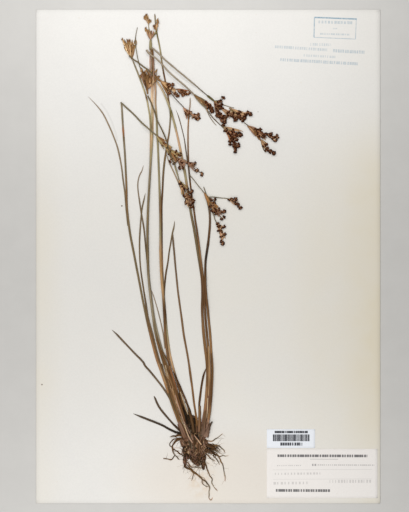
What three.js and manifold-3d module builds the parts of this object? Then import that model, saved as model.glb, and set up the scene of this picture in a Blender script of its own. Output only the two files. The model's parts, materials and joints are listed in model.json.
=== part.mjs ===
// A herbarium sheet: a tuft of narrow-panicled rush, pressed flat with its roots, on a stiff mounting sheet
// with two paper slips in the corner. Millimetres. +Z is up out of the sheet, +Y runs to the sheet's top edge
// and +X to its right edge. The origin is the middle of the sheet's underside.
import * as THREE from "three";
import { ConvexGeometry } from "three/addons/geometries/ConvexGeometry.js";
import { mergeVertices } from "three/addons/utils/BufferGeometryUtils.js";
import Module from "manifold-3d";

const wasm = await Module();
wasm.setup();

// Paper sizes
const SHEET = { width: 292.1, height: 419.1, thickness: 0.6 };
const SLIPS = {
  label: { left: 49.6, right: 143.7, bottom: -205, top: -163.1, thickness: 0.25 },
  number_slip: { left: 49.7, right: 90.7, bottom: -162.6, top: -146.4, thickness: 0.25 },
};
const GLUE_GAP = 0.03; // between a slip and the sheet

// How pressed pieces lie on the sheet and over each other
const CELL = 0.25; // side of one square of the height map
const GAP = 0.1; // air left between two pieces
const MARGIN = 0.3; // how far past its own edge a piece feels for what it lies on
const SAMPLE = 0.5; // spacing of the places where heights are read
const CLIMB = 0.3; // steepest rise of a stem that crosses another
const BEND = 0.17; // how far a straight stretch may leave the smooth route
const ROOT_BEND = 0.4; // the same for a root
const STALK_BEND = 0.5; // the same for a panicle's stalk
const SLACK = 0.4; // how far a stretch may hang over what is under it
const SPREAD = 2.2; // how wide a panicle feels for what it lies on

// Pressed sections, one unit wide and one unit high, standing on the sheet
const SECTIONS = {
  stem: [[-0.5, 0], [0.5, 0], [0.26, 1], [-0.26, 1]],
  leaf: [[-0.5, 0], [0.5, 0], [0.2, 1], [-0.2, 1]],
  stalk: [[-0.5, 0], [0.5, 0], [0, 1]],
};
const STEM_HEIGHT = 0.85;
const LEAF_HEIGHT = 0.45;
const SHEATH_HEIGHT = 0.55;
const ROOT_HEIGHT = 0.6;
const STALK = { width: 0.9, height: 0.7 };
// A head's size. Reach is from its middle to its tip, the backs are how deep its foot sits in a stalk that it
// leaves sideways or ends, and heads that stand closer than crowding are one.
const HEAD = { width: 2.4, height: 1.5, reach: 1.8, sideBack: 0.4, endBack: 1.3, crowding: 3 };

const COLOURS = {
  paper: 0xe4e1da,
  label: 0xe8e2dc,
  slip: 0xe9ecee,
  crown: 0x4b372a,
  stem: 0x6b5838,
  paleStem: 0x9a7e58,
  leaf: 0x5c4f40,
  darkLeaf: 0x37291d,
  paleLeaf: 0x8f887c,
  sheath: 0x785a4b,
  straw: 0xbe9673,
  panicle: 0x4a2a1a,
  palePanicle: 0x9a6438,
};
const ROUGHNESS = { paper: 0.9, crown: 0.95, stem: 0.55, leaf: 0.75, sheath: 0.7, panicle: 0.7 };

const part = new THREE.Group();
part.name = "herbarium_sheet";

function addMesh(name, geometry, colour, roughness) {
  const material = new THREE.MeshStandardMaterial({ color: colour, roughness, metalness: 0 });
  const mesh = new THREE.Mesh(geometry, material);
  mesh.name = name;
  part.add(mesh);
}

// Height map of everything that already lies on the sheet
const columns = Math.ceil(SHEET.width / CELL);
const rows = Math.ceil(SHEET.height / CELL);
const tops = new Float32Array(columns * rows).fill(SHEET.thickness);

function visitCells(x, y, reach, visit) {
  const wide = reach + CELL * Math.SQRT1_2;
  const clampColumn = (c) => Math.min(columns - 1, Math.max(0, c));
  const clampRow = (r) => Math.min(rows - 1, Math.max(0, r));
  const first = clampColumn(Math.floor((x - wide + SHEET.width / 2) / CELL));
  const last = clampColumn(Math.floor((x + wide + SHEET.width / 2) / CELL));
  const low = clampRow(Math.floor((y - wide + SHEET.height / 2) / CELL));
  const high = clampRow(Math.floor((y + wide + SHEET.height / 2) / CELL));
  for (let row = low; row <= high; row++)
    for (let column = first; column <= last; column++) {
      const dx = (column + 0.5) * CELL - SHEET.width / 2 - x;
      const dy = (row + 0.5) * CELL - SHEET.height / 2 - y;
      if (dx * dx + dy * dy <= wide * wide) visit(row * columns + column);
    }
}

function highestUnder(x, y, reach) {
  let highest = SHEET.thickness;
  visitCells(x, y, reach, (cell) => (highest = Math.max(highest, tops[cell])));
  return highest;
}

function raise(x, y, reach, top) {
  visitCells(x, y, reach, (cell) => (tops[cell] = Math.max(tops[cell], top)));
}

// Raises the map along a piece that now lies there, from ring to ring
function raiseAlong(rings) {
  for (let i = 1; i < rings.length; i++) {
    const [a, b] = [rings[i - 1], rings[i]];
    const steps = Math.max(1, Math.ceil(Math.hypot(b.x - a.x, b.y - a.y) / (SAMPLE / 2)));
    for (let k = 0; k <= steps; k++) {
      const t = k / steps;
      const top = THREE.MathUtils.lerp(a.z + a.height, b.z + b.height, t);
      const reach = Math.max(a.width, b.width) / 2;
      raise(THREE.MathUtils.lerp(a.x, b.x, t), THREE.MathUtils.lerp(a.y, b.y, t), reach, top);
    }
  }
}

// Routes
function smoothRoute(points) {
  const curve = new THREE.CatmullRomCurve3(
    points.map(([x, y]) => new THREE.Vector3(x, y, 0)),
    false,
    "centripetal",
  );
  const count = Math.max(2, Math.ceil(curve.getLength() / SAMPLE));
  return curve.getSpacedPoints(count).map((p) => new THREE.Vector2(p.x, p.y));
}

function distanceToChord(p, a, b) {
  const chord = b.clone().sub(a);
  return Math.abs(chord.cross(p.clone().sub(a))) / chord.length();
}

// Corners of the fewest straight stretches that stay within a small bend of the route
function cornersOf(route, bend) {
  const keep = [0, route.length - 1];
  const split = (from, to) => {
    let worst = bend;
    let at = -1;
    for (let i = from + 1; i < to; i++) {
      const off = distanceToChord(route[i], route[from], route[to]);
      if (off > worst) [worst, at] = [off, i];
    }
    if (at < 0) return;
    keep.push(at);
    split(from, at);
    split(at, to);
  };
  split(0, route.length - 1);
  return keep.sort((a, b) => a - b);
}

// The smooth route's places, moved onto the straight stretches between its corners
function straighten(points, bend) {
  const route = smoothRoute(points);
  const corners = cornersOf(route, bend);
  const places = route.map((place, i) => {
    const next = corners.find((c) => c >= i);
    const before = corners.findLast((c) => c <= i);
    if (next === before) return place.clone();
    return route[before].clone().lerp(route[next], (i - before) / (next - before));
  });
  return { places, corners };
}

// Rings of a strip over a floor height at each place: one at every corner, and more where a longer straight
// stretch would cut into the floor or hang far above it
function ringsOver(floor, { places, corners }, widths, height) {
  const last = places.length - 1;
  const fits = (from, to) => {
    for (let i = from + 1; i < to; i++) {
      const chord = THREE.MathUtils.lerp(floor[from], floor[to], (i - from) / (to - from));
      if (chord < floor[i] - GAP / 4 || chord > floor[i] + SLACK) return false;
    }
    return true;
  };
  const kept = [0];
  while (kept.at(-1) < last) {
    const from = kept.at(-1);
    let to = corners.find((c) => c > from);
    while (to > from + 1 && !fits(from, to)) to--;
    kept.push(to);
  }
  return kept.map((i) => {
    const width = THREE.MathUtils.lerp(widths[0], widths[1], i / last);
    return { x: places[i].x, y: places[i].y, z: floor[i], width, height };
  });
}

// Lays a strip along a route: it rests on the sheet and on what lies there, and climbs over what it crosses
function layRings(points, widths, height) {
  const path = straighten(points, BEND);
  const { places } = path;
  const last = places.length - 1;
  const reach = Math.max(...widths) / 2 + MARGIN;
  const floor = places.map((p) => highestUnder(p.x, p.y, reach) + GAP);
  for (let i = 1; i <= last; i++)
    floor[i] = Math.max(floor[i], floor[i - 1] - CLIMB * places[i].distanceTo(places[i - 1]));
  for (let i = last - 1; i >= 0; i--)
    floor[i] = Math.max(floor[i], floor[i + 1] - CLIMB * places[i].distanceTo(places[i + 1]));
  return ringsOver(floor, path, widths, height);
}

// Sweeps a section through rings: it is extruded straight, and each of its steps is then set on its own ring,
// because an extrusion along a path keeps one size of section.
function sweep(section, rings) {
  const steps = rings.length - 1;
  const outline = new THREE.Shape(section.map(([x, y]) => new THREE.Vector2(x, y)));
  const geometry = new THREE.ExtrudeGeometry(outline, { depth: 1, steps, bevelEnabled: false });
  const sides = rings.map((ring, i) => {
    const a = rings[Math.max(0, i - 1)];
    const b = rings[Math.min(steps, i + 1)];
    const back = new THREE.Vector2(ring.x - a.x, ring.y - a.y).normalize();
    const ahead = new THREE.Vector2(b.x - ring.x, b.y - ring.y).normalize();
    const along = back.add(ahead).normalize();
    return new THREE.Vector2(-along.y, along.x);
  });
  const position = geometry.getAttribute("position");
  for (let v = 0; v < position.count; v++) {
    const i = Math.round(position.getZ(v) * steps);
    const ring = rings[i];
    const across = position.getX(v) * ring.width;
    const up = position.getY(v) * ring.height;
    position.setXYZ(v, ring.x + sides[i].x * across, ring.y + sides[i].y * across, ring.z + up);
  }
  return welded(geometry);
}

function welded(geometry) {
  geometry.deleteAttribute("normal");
  geometry.deleteAttribute("uv");
  return mergeVertices(geometry, 1e-5);
}

// Solids, joined and cut
function toSolid(geometry) {
  return new wasm.Manifold(
    new wasm.Mesh({
      numProp: 3,
      vertProperties: new Float32Array(geometry.getAttribute("position").array),
      triVerts: new Uint32Array(geometry.index.array),
    }),
  );
}

function toGeometry(solid) {
  const mesh = solid.getMesh();
  const geometry = new THREE.BufferGeometry();
  geometry.setAttribute("position", new THREE.BufferAttribute(new Float32Array(mesh.vertProperties), 3));
  geometry.setIndex(new THREE.BufferAttribute(new Uint32Array(mesh.triVerts), 1));
  return geometry;
}

function joined(solids) {
  return solids.reduce((whole, next) => whole.add(next));
}

// Papers
const sheet = new THREE.BoxGeometry(SHEET.width, SHEET.height, SHEET.thickness);
sheet.translate(0, 0, SHEET.thickness / 2);
addMesh("mounting_sheet", sheet, COLOURS.paper, ROUGHNESS.paper);
for (const [name, slip] of Object.entries(SLIPS)) {
  const paper = new THREE.BoxGeometry(slip.right - slip.left, slip.top - slip.bottom, slip.thickness);
  const height = SHEET.thickness + GLUE_GAP + slip.thickness / 2;
  paper.translate((slip.left + slip.right) / 2, (slip.bottom + slip.top) / 2, height);
  addMesh(name, paper, name === "label" ? COLOURS.label : COLOURS.slip, ROUGHNESS.paper);
}

// Crown and roots, grown as one: flattened lumps cut off flat on the sheet, with the roots that leave them
const LUMPS = [
  { at: [-10.5, -161], size: [11, 8.5], height: 2.6, turn: 0 },
  { at: [-16.3, -169.5], size: [5, 9.5], height: 2.4, turn: 0.12 },
  { at: [-7.2, -170], size: [5, 8], height: 2.3, turn: -0.1 },
  { at: [-20.6, -158.5], size: [3.4, 6], height: 1.8, turn: 0.35 },
  { at: [2.6, -161.8], size: [5, 2.6], height: 1.9, turn: -0.15 },
  { at: [2, -166.4], size: [7, 3], height: 1.7, turn: -0.2 },
  { at: [-4.3, -177.2], size: [1.7, 4.6], height: 1.4, turn: 0.1 },
];
const LUMP_SIDES = 8;
const LUMP_RINGS = 4;
const ABOVE_FOOT = { reach: 60, middleY: -160 }; // a block over the whole crown, which cuts it off flat
const ROOTS = [
  { route: [[-20, -151.5], [-26, -151.6], [-32.6, -153.2]], widths: [2.6, 1.1] },
  { route: [[-20, -153.5], [-26, -155], [-28.6, -158], [-30.2, -161.5], [-29.6, -166], [-27, -169],
    [-24.4, -172.8]], widths: [1.7, 0.9] },
  { route: [[-22, -154], [-29.4, -155.2], [-32.2, -157.8], [-32.8, -160], [-30, -162.2]], widths: [1, 0.8] },
  { route: [[-29.6, -163.2], [-26, -165.6], [-22.4, -168.2], [-18, -169.5]], widths: [0.9, 1.1] },
  { route: [[-38, -171.4], [-34, -171.7], [-31.4, -172.3], [-29.2, -170.6], [-28, -168]],
    widths: [0.8, 0.9] },
  { route: [[-19, -175], [-20, -178], [-17, -179.8], [-13, -182.4], [-8, -186.3], [-3.5, -190], [0.2, -193.2],
    [1.2, -196.5], [0.5, -201], [1, -205.6], [2.4, -207.1], [3.8, -204.2]], widths: [1.8, 0.8] },
  { route: [[-5.2, -188.6], [-4.6, -192], [-3, -194.4], [0.8, -195.6]], widths: [0.7, 0.8] },
  { route: [[-17.5, -174.5], [-14, -178.6], [-9.5, -179.2], [-4.2, -180]], widths: [1, 0.8] },
  { route: [[-3.5, -172], [-1.4, -179.5], [0.6, -184], [3, -188.2], [3.4, -191.8], [4.8, -195.6],
    [8.4, -199.2]], widths: [1.4, 0.7] },
  { route: [[-12, -182], [-12.9, -186.5], [-14.4, -190.6]], widths: [0.8, 0.6] },
  { route: [[-4, -155], [2, -156.8], [6, -155.4], [9.5, -152.8], [12.4, -150]], widths: [1.2, 0.6] },
  { route: [[1, -160.5], [6, -160.6], [10, -161.6], [13, -164.2], [14.4, -167]], widths: [1.5, 0.9] },
  { route: [[5, -168], [9.5, -169], [17.6, -169]], widths: [0.9, 0.6] },
  { route: [[3, -166], [8, -169.2], [11, -173.6], [12.9, -179.5], [14.6, -186], [14.4, -191]],
    widths: [1.3, 0.8] },
  { route: [[4, -168.5], [7.2, -172], [9.8, -177]], widths: [1.1, 0.8] },
  { route: [[-2, -167.2], [0.6, -169.6], [3, -171.8], [6.4, -173.8]], widths: [1.1, 0.7] },
];

function makeCrown() {
  const foot = SHEET.thickness + GAP;
  const roots = ROOTS.map(({ route, widths }) => {
    const path = straighten(route, ROOT_BEND);
    const rings = ringsOver(path.places.map(() => foot), path, widths, ROOT_HEIGHT);
    return { rings, solid: toSolid(sweep(SECTIONS.stalk, rings)) };
  });
  const lumps = LUMPS.map(({ at, size, height, turn }) => {
    const lump = new THREE.SphereGeometry(1, LUMP_SIDES, LUMP_RINGS);
    lump.rotateX(Math.PI / 2).scale(size[0], size[1], height);
    lump.rotateZ(turn).translate(at[0], at[1], foot);
    return toSolid(welded(lump));
  });
  const { reach, middleY } = ABOVE_FOOT;
  const upper = new THREE.BoxGeometry(2 * reach, 2 * reach, reach);
  upper.translate(0, middleY, foot + reach / 2);
  const crown = joined(lumps).intersect(toSolid(welded(upper)));
  for (const { rings } of roots) raiseAlong(rings);
  for (const { at, size, height, turn } of LUMPS) {
    const span = Math.max(...size);
    for (let dx = -span; dx <= span; dx += CELL)
      for (let dy = -span; dy <= span; dy += CELL) {
        const across = (dx * Math.cos(turn) + dy * Math.sin(turn)) / size[0];
        const along = (dy * Math.cos(turn) - dx * Math.sin(turn)) / size[1];
        const inside = 1 - across * across - along * along;
        if (inside > 0) raise(at[0] + dx, at[1] + dy, 0, foot + height * Math.sqrt(inside));
      }
  }
  return toGeometry(joined([crown, ...roots.map((root) => root.solid)]));
}
addMesh("root_crown", makeCrown(), COLOURS.crown, ROUGHNESS.crown);

// Stems and leaves, each from its foot to its tip, in the order in which they were laid down
const STRIPS = {
  leaf_long_left: { kind: "leaf", colour: "leaf", widths: [1.3, 0.9], route: [[-67.8, 26], [-69.3, 38],
    [-70.5, 52], [-71.9, 65], [-73.4, 76], [-75, 84.5], [-77.2, 93.5], [-80.3, 102], [-84.1, 111],
    [-88.6, 120], [-95.2, 128.5], [-101.9, 135.7]] },
  leaf_crossing_left: { kind: "leaf", colour: "leaf", widths: [1.2, 0.8], route: [[-50.9, -14], [-51.9, -3],
    [-52.8, 7], [-53.7, 17], [-55.1, 28], [-56.9, 38.5], [-58.4, 48.5], [-59.4, 56], [-59.3, 62.5],
    [-58, 68.5], [-56, 72.8], [-54.9, 77.4]] },
  leaf_inner_fork: { kind: "leaf", colour: "leaf", widths: [1.3, 0.8], route: [[-37.5, -42], [-37.3, -30],
    [-36.2, -19], [-35, -8.5], [-33.5, 0.5], [-32, 9], [-30.4, 19], [-29, 25], [-28.4, 30.3]] },
  leaf_thin_inner: { kind: "leaf", colour: "paleLeaf", widths: [1.1, 0.7], route: [[-36.6, -78], [-38.2, -66],
    [-40.2, -56], [-42.6, -46], [-44.6, -38.7], [-46.8, -32], [-49.4, -26]] },
  leaf_stub_lower: { kind: "leaf", colour: "darkLeaf", widths: [2, 0.9], route: [[-19.5, -152.8],
    [-23.4, -150.3], [-28, -148.9], [-33, -146.6], [-38.5, -143.4], [-44.5, -140.8], [-51.2, -138.3],
    [-58, -135.6], [-63.6, -133.3]] },
  leaf_stub_upper: { kind: "leaf", colour: "darkLeaf", widths: [1.8, 1.1], route: [[-20.5, -151],
    [-25.3, -146.2], [-30.5, -141], [-35.5, -135.6], [-40.2, -129.4], [-43.8, -123.4], [-46.1, -118.2]] },
  leaf_lone_left: { kind: "leaf", colour: "leaf", widths: [1.6, 1.1], route: [[-20.8, -150.5],
    [-24.6, -138.5], [-28.6, -128], [-32.6, -119.8], [-38.5, -111], [-43.7, -104.3], [-49.5, -97.4],
    [-53.8, -92.6], [-54.8, -90.3], [-56.6, -88], [-63, -81.5], [-71.5, -72.3], [-76.6, -67],
    [-81.7, -62.2]] },
  stem_left: { kind: "stem", colour: "stem", widths: [1.7, 1.2], route: [[-17.6, -151.5], [-19.8, -147],
    [-23.8, -137], [-27.3, -127], [-30.6, -116], [-34, -104], [-37.9, -91], [-42, -76], [-45.6, -59],
    [-48.2, -41], [-50.4, -21], [-51.4, 0], [-51.6, 20], [-51.2, 40], [-50.2, 60], [-49.2, 78],
    [-48.9, 95], [-49, 108], [-49.6, 119], [-51, 128], [-52.7, 136], [-55.9, 145.5], [-59.4, 155],
    [-62.2, 162], [-64.2, 166.6]] },
  stem_folded_lower: { kind: "stem", colour: "stem", widths: [1.5, 1.2], route: [[-15.4, -150],
    [-18.4, -143.5], [-22.7, -133], [-26.5, -122.5], [-29.8, -111], [-33.2, -98.5], [-37.4, -85],
    [-41.8, -70], [-45, -56], [-47.6, -39], [-49.9, -20], [-51, 0], [-51.2, 20], [-50.7, 42], [-49.6, 62],
    [-48.5, 80], [-47.4, 96], [-46.9, 112], [-46.9, 137], [-46.6, 155], [-47.2, 169.3]] },
  stem_tall: { kind: "stem", colour: "stem", widths: [1.8, 1], route: [[-11.4, -150.5], [-13.2, -145],
    [-16.6, -136], [-20.2, -126.5], [-23.3, -116], [-26.3, -106], [-29.6, -95], [-32.2, -84], [-34, -72],
    [-35.4, -60], [-36.6, -45], [-37.6, -30], [-38.9, -12], [-39.3, 5], [-39.4, 25], [-39.3, 42], [-38.7, 54],
    [-38.2, 68], [-37, 81], [-35.6, 90], [-34.2, 98.5], [-33, 106], [-32.3, 114], [-32, 121.5], [-32.8, 127],
    [-33.8, 134], [-35, 142], [-36.4, 149], [-38, 157], [-39.1, 163], [-40.2, 172], [-41.9, 181],
    [-43.8, 190], [-44.6, 196], [-45.3, 205.8]] },
  stem_tan: { kind: "stem", colour: "paleStem", widths: [2, 1.1], route: [[-5.6, -149.5], [-4.4, -142],
    [-3, -133], [-1.9, -124], [-1, -112], [-0.6, -100], [-1.2, -88], [-2.5, -77], [-3.7, -66], [-4.5, -55],
    [-4.9, -44], [-4.6, -32], [-5.1, -20], [-6.5, -9], [-8.4, 4], [-10.3, 16], [-12, 26], [-14, 36],
    [-16.2, 47], [-17.9, 59], [-19.4, 69.5], [-21.4, 80], [-23.6, 91], [-26, 102], [-29, 114], [-32, 124],
    [-35.4, 133.5], [-39.3, 142], [-43.6, 148.8]] },
  stem_slender: { kind: "stem", colour: "stem", widths: [1.7, 0.8], route: [[-4, -150.5], [-2.8, -142],
    [-1.4, -134], [-0.2, -125], [0.7, -114], [1.1, -102], [0.9, -90], [0.1, -78], [-1, -66], [-2.1, -54],
    [-2.8, -43], [-3.3, -32], [-4.2, -21], [-5.2, -11], [-6.4, 1], [-7.7, 12], [-9.1, 22], [-10.6, 31],
    [-12.3, 42], [-14, 53], [-15.4, 64.5], [-16.4, 74], [-16.9, 86], [-17.1, 100], [-16.9, 112], [-16.2, 122],
    [-15.4, 129], [-15.3, 134.6]] },
  stem_right: { kind: "stem", colour: "stem", widths: [1.8, 1.2], route: [[-2, -149.5], [-0.4, -142],
    [1, -134], [2, -125], [2.8, -114], [3.2, -103], [3.2, -92], [2.8, -80], [2, -69], [0.9, -57],
    [-0.4, -45], [-1.6, -35], [-2.3, -25], [-2.5, -14], [-2.2, -4], [-1.3, 3], [-0.1, 11], [0.8, 19],
    [1.4, 27], [1.4, 34], [0.8, 40.5], [-0.4, 46.5]] },
  stem_far_left: { kind: "stem", colour: "stem", widths: [1.9, 1.5], route: [[-20, -151.6], [-21.2, -149],
    [-25.2, -139], [-28.6, -130], [-32.2, -120], [-35.9, -109], [-39.4, -99], [-43.9, -86], [-49.2, -65],
    [-53.8, -45], [-58.6, -21], [-62.5, 0], [-66.5, 21], [-68.8, 40], [-69.2, 58], [-70.2, 80], [-71.4, 98],
    [-72.3, 112], [-73.1, 125], [-73.6, 130.3]] },
  leaf_crossing_right: { kind: "leaf", colour: "leaf", widths: [1.4, 0.8], route: [[-19, -149.6],
    [-22.5, -142], [-25.9, -133], [-30.2, -121], [-34.3, -108.5], [-37.5, -99.5], [-42.2, -86],
    [-47.3, -66], [-50.9, -51], [-53, -38.5], [-54.9, -27], [-56.4, -17], [-57.6, -6], [-58.2, 5],
    [-58.2, 15], [-57.7, 25], [-56.9, 34], [-56, 41], [-54.6, 47.5], [-53.2, 53.8]] },
  stem_middle: { kind: "stem", colour: "stem", widths: [1.8, 1.4], route: [[-14.8, -151], [-16.8, -147],
    [-21, -137], [-24.9, -127], [-28.4, -116], [-32.4, -103], [-36.8, -91], [-41.2, -79], [-44.5, -65],
    [-46.7, -50], [-48.7, -36], [-50.3, -20], [-51.1, -8], [-51.4, 14], [-51.1, 40], [-50.1, 58], [-49.1, 76],
    [-48.3, 90], [-47.9, 105], [-47.7, 120], [-47.9, 137], [-47.6, 156], [-48.1, 172], [-48.6, 183.4]] },
  stem_folded_upper: { kind: "stem", colour: "stem", widths: [1.8, 1.3], route: [[-13, -151.6], [-15.1, -147],
    [-18.9, -138.5], [-22.2, -130], [-25.3, -119], [-28.4, -107.5], [-31.4, -97.5], [-33.4, -88.5],
    [-35, -79], [-36, -69.5], [-36.7, -58], [-37.3, -45], [-38, -34], [-39, -25], [-39.6, -14], [-39.8, 0],
    [-39.9, 22], [-40.6, 43], [-41.2, 60], [-41.9, 78], [-42.6, 94], [-43.3, 106], [-43.6, 118],
    [-44.6, 130], [-44.6, 140], [-45.2, 149], [-46.3, 158], [-47, 167], [-47.6, 175.8]] },
  leaf_right_of_middle: { kind: "leaf", colour: "leaf", widths: [1.5, 0.9], route: [[-9, -144],
    [-10.5, -134.5], [-12.3, -123], [-14.2, -107.5], [-15.9, -93.5], [-18.2, -80], [-21.2, -62.5],
    [-23.5, -45.5], [-25.6, -28.5], [-27.4, -11.5], [-28.9, 4.5], [-29.7, 13], [-30.1, 20.5]] },
  leaf_by_slender_stem: { kind: "leaf", colour: "leaf", widths: [1.1, 0.7], route: [[-15.7, 66], [-17.4, 79],
    [-18.8, 90], [-20.1, 98], [-21.7, 105.5], [-23.6, 113.5], [-25.6, 120], [-27.5, 124.7]] },
  leaf_dark_inner: { kind: "leaf", colour: "darkLeaf", widths: [1.8, 1.2], route: [[-19.4, -139.5],
    [-23, -128], [-26, -118.5], [-29, -110], [-31.8, -103], [-34.3, -97], [-36.9, -90.2], [-39, -84.5],
    [-40.5, -78.6], [-42.5, -73], [-44.4, -67.2]] },
  leaf_short_inner: { kind: "leaf", colour: "darkLeaf", widths: [1, 0.8], route: [[-32.6, -92.5], [-35, -87],
    [-37.5, -82.6], [-40.2, -78.6]] },
  leaf_short_dark: { kind: "leaf", colour: "darkLeaf", widths: [1.2, 0.8], route: [[-30.6, -111.5],
    [-32.5, -107], [-34, -104.2], [-35.8, -101.6]] },
  leaf_dark_outer: { kind: "leaf", colour: "darkLeaf", widths: [1.7, 1], route: [[-12.8, -142], [-14, -136.5],
    [-16.3, -129], [-18.9, -122.3], [-21.5, -115.8], [-24.1, -109.2], [-27.3, -102.4], [-29.9, -97]] },
  leaf_dark_right: { kind: "leaf", colour: "darkLeaf", widths: [1.6, 1], route: [[-6.2, -147], [-7, -136.5],
    [-7.4, -127], [-6.6, -118.5], [-5.7, -111.5], [-4.5, -105], [-3.2, -98.8], [-1.5, -94.2]] },
  leaf_pale_centre: { kind: "leaf", colour: "paleLeaf", widths: [1.1, 0.7], route: [[-17.4, 44.5],
    [-20.3, 51.5], [-22.8, 57], [-25.4, 63], [-29.3, 71.5], [-32.5, 78.5], [-35.4, 86.4]] },
  sheath_left: { kind: "sheath", colour: "sheath", widths: [4, 2.2], route: [[-19.4, -153], [-20.9, -149.5],
    [-22.8, -144.5], [-24.4, -139.5]] },
  sheath_right_tall: { kind: "sheath", colour: "sheath", widths: [3.2, 2], route: [[-4.4, -151], [-3.8, -145],
    [-3, -138], [-2.3, -131]] },
  sheath_dark: { kind: "sheath", colour: "darkLeaf", widths: [3, 1.2], route: [[-12.4, -149], [-13.4, -142.5],
    [-15.2, -134.5], [-17.2, -127.5], [-18.8, -123]] },
  sheath_brown: { kind: "sheath", colour: "sheath", widths: [2.6, 2.2], route: [[-8, -150], [-7.4, -141.5],
    [-7.2, -133.5], [-7.3, -126.5]] },
  sheath_right: { kind: "sheath", colour: "sheath", widths: [4.2, 1.3], route: [[-2.2, -152.5],
    [-0.4, -147.4], [1.3, -143.2], [3.4, -139.5]] },
  sheath_straw_left: { kind: "sheath", colour: "straw", widths: [1.7, 1], route: [[-13.2, -157.5],
    [-15.8, -153], [-18.2, -147.5], [-20.2, -141.5]] },
  sheath_straw_right: { kind: "sheath", colour: "straw", widths: [1.6, 1.1], route: [[-5.8, -159.3],
    [-8.8, -155.2], [-11.9, -151.2]] },
};
const HEIGHTS = { stem: STEM_HEIGHT, leaf: LEAF_HEIGHT, sheath: SHEATH_HEIGHT };

for (const [name, { kind, colour, widths, route }] of Object.entries(STRIPS)) {
  const rings = layRings(route, widths, HEIGHTS[kind]);
  raiseAlong(rings);
  const section = kind === "stem" ? SECTIONS.stem : SECTIONS.leaf;
  addMesh(name, sweep(section, rings), COLOURS[colour], ROUGHNESS[kind]);
}

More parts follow.
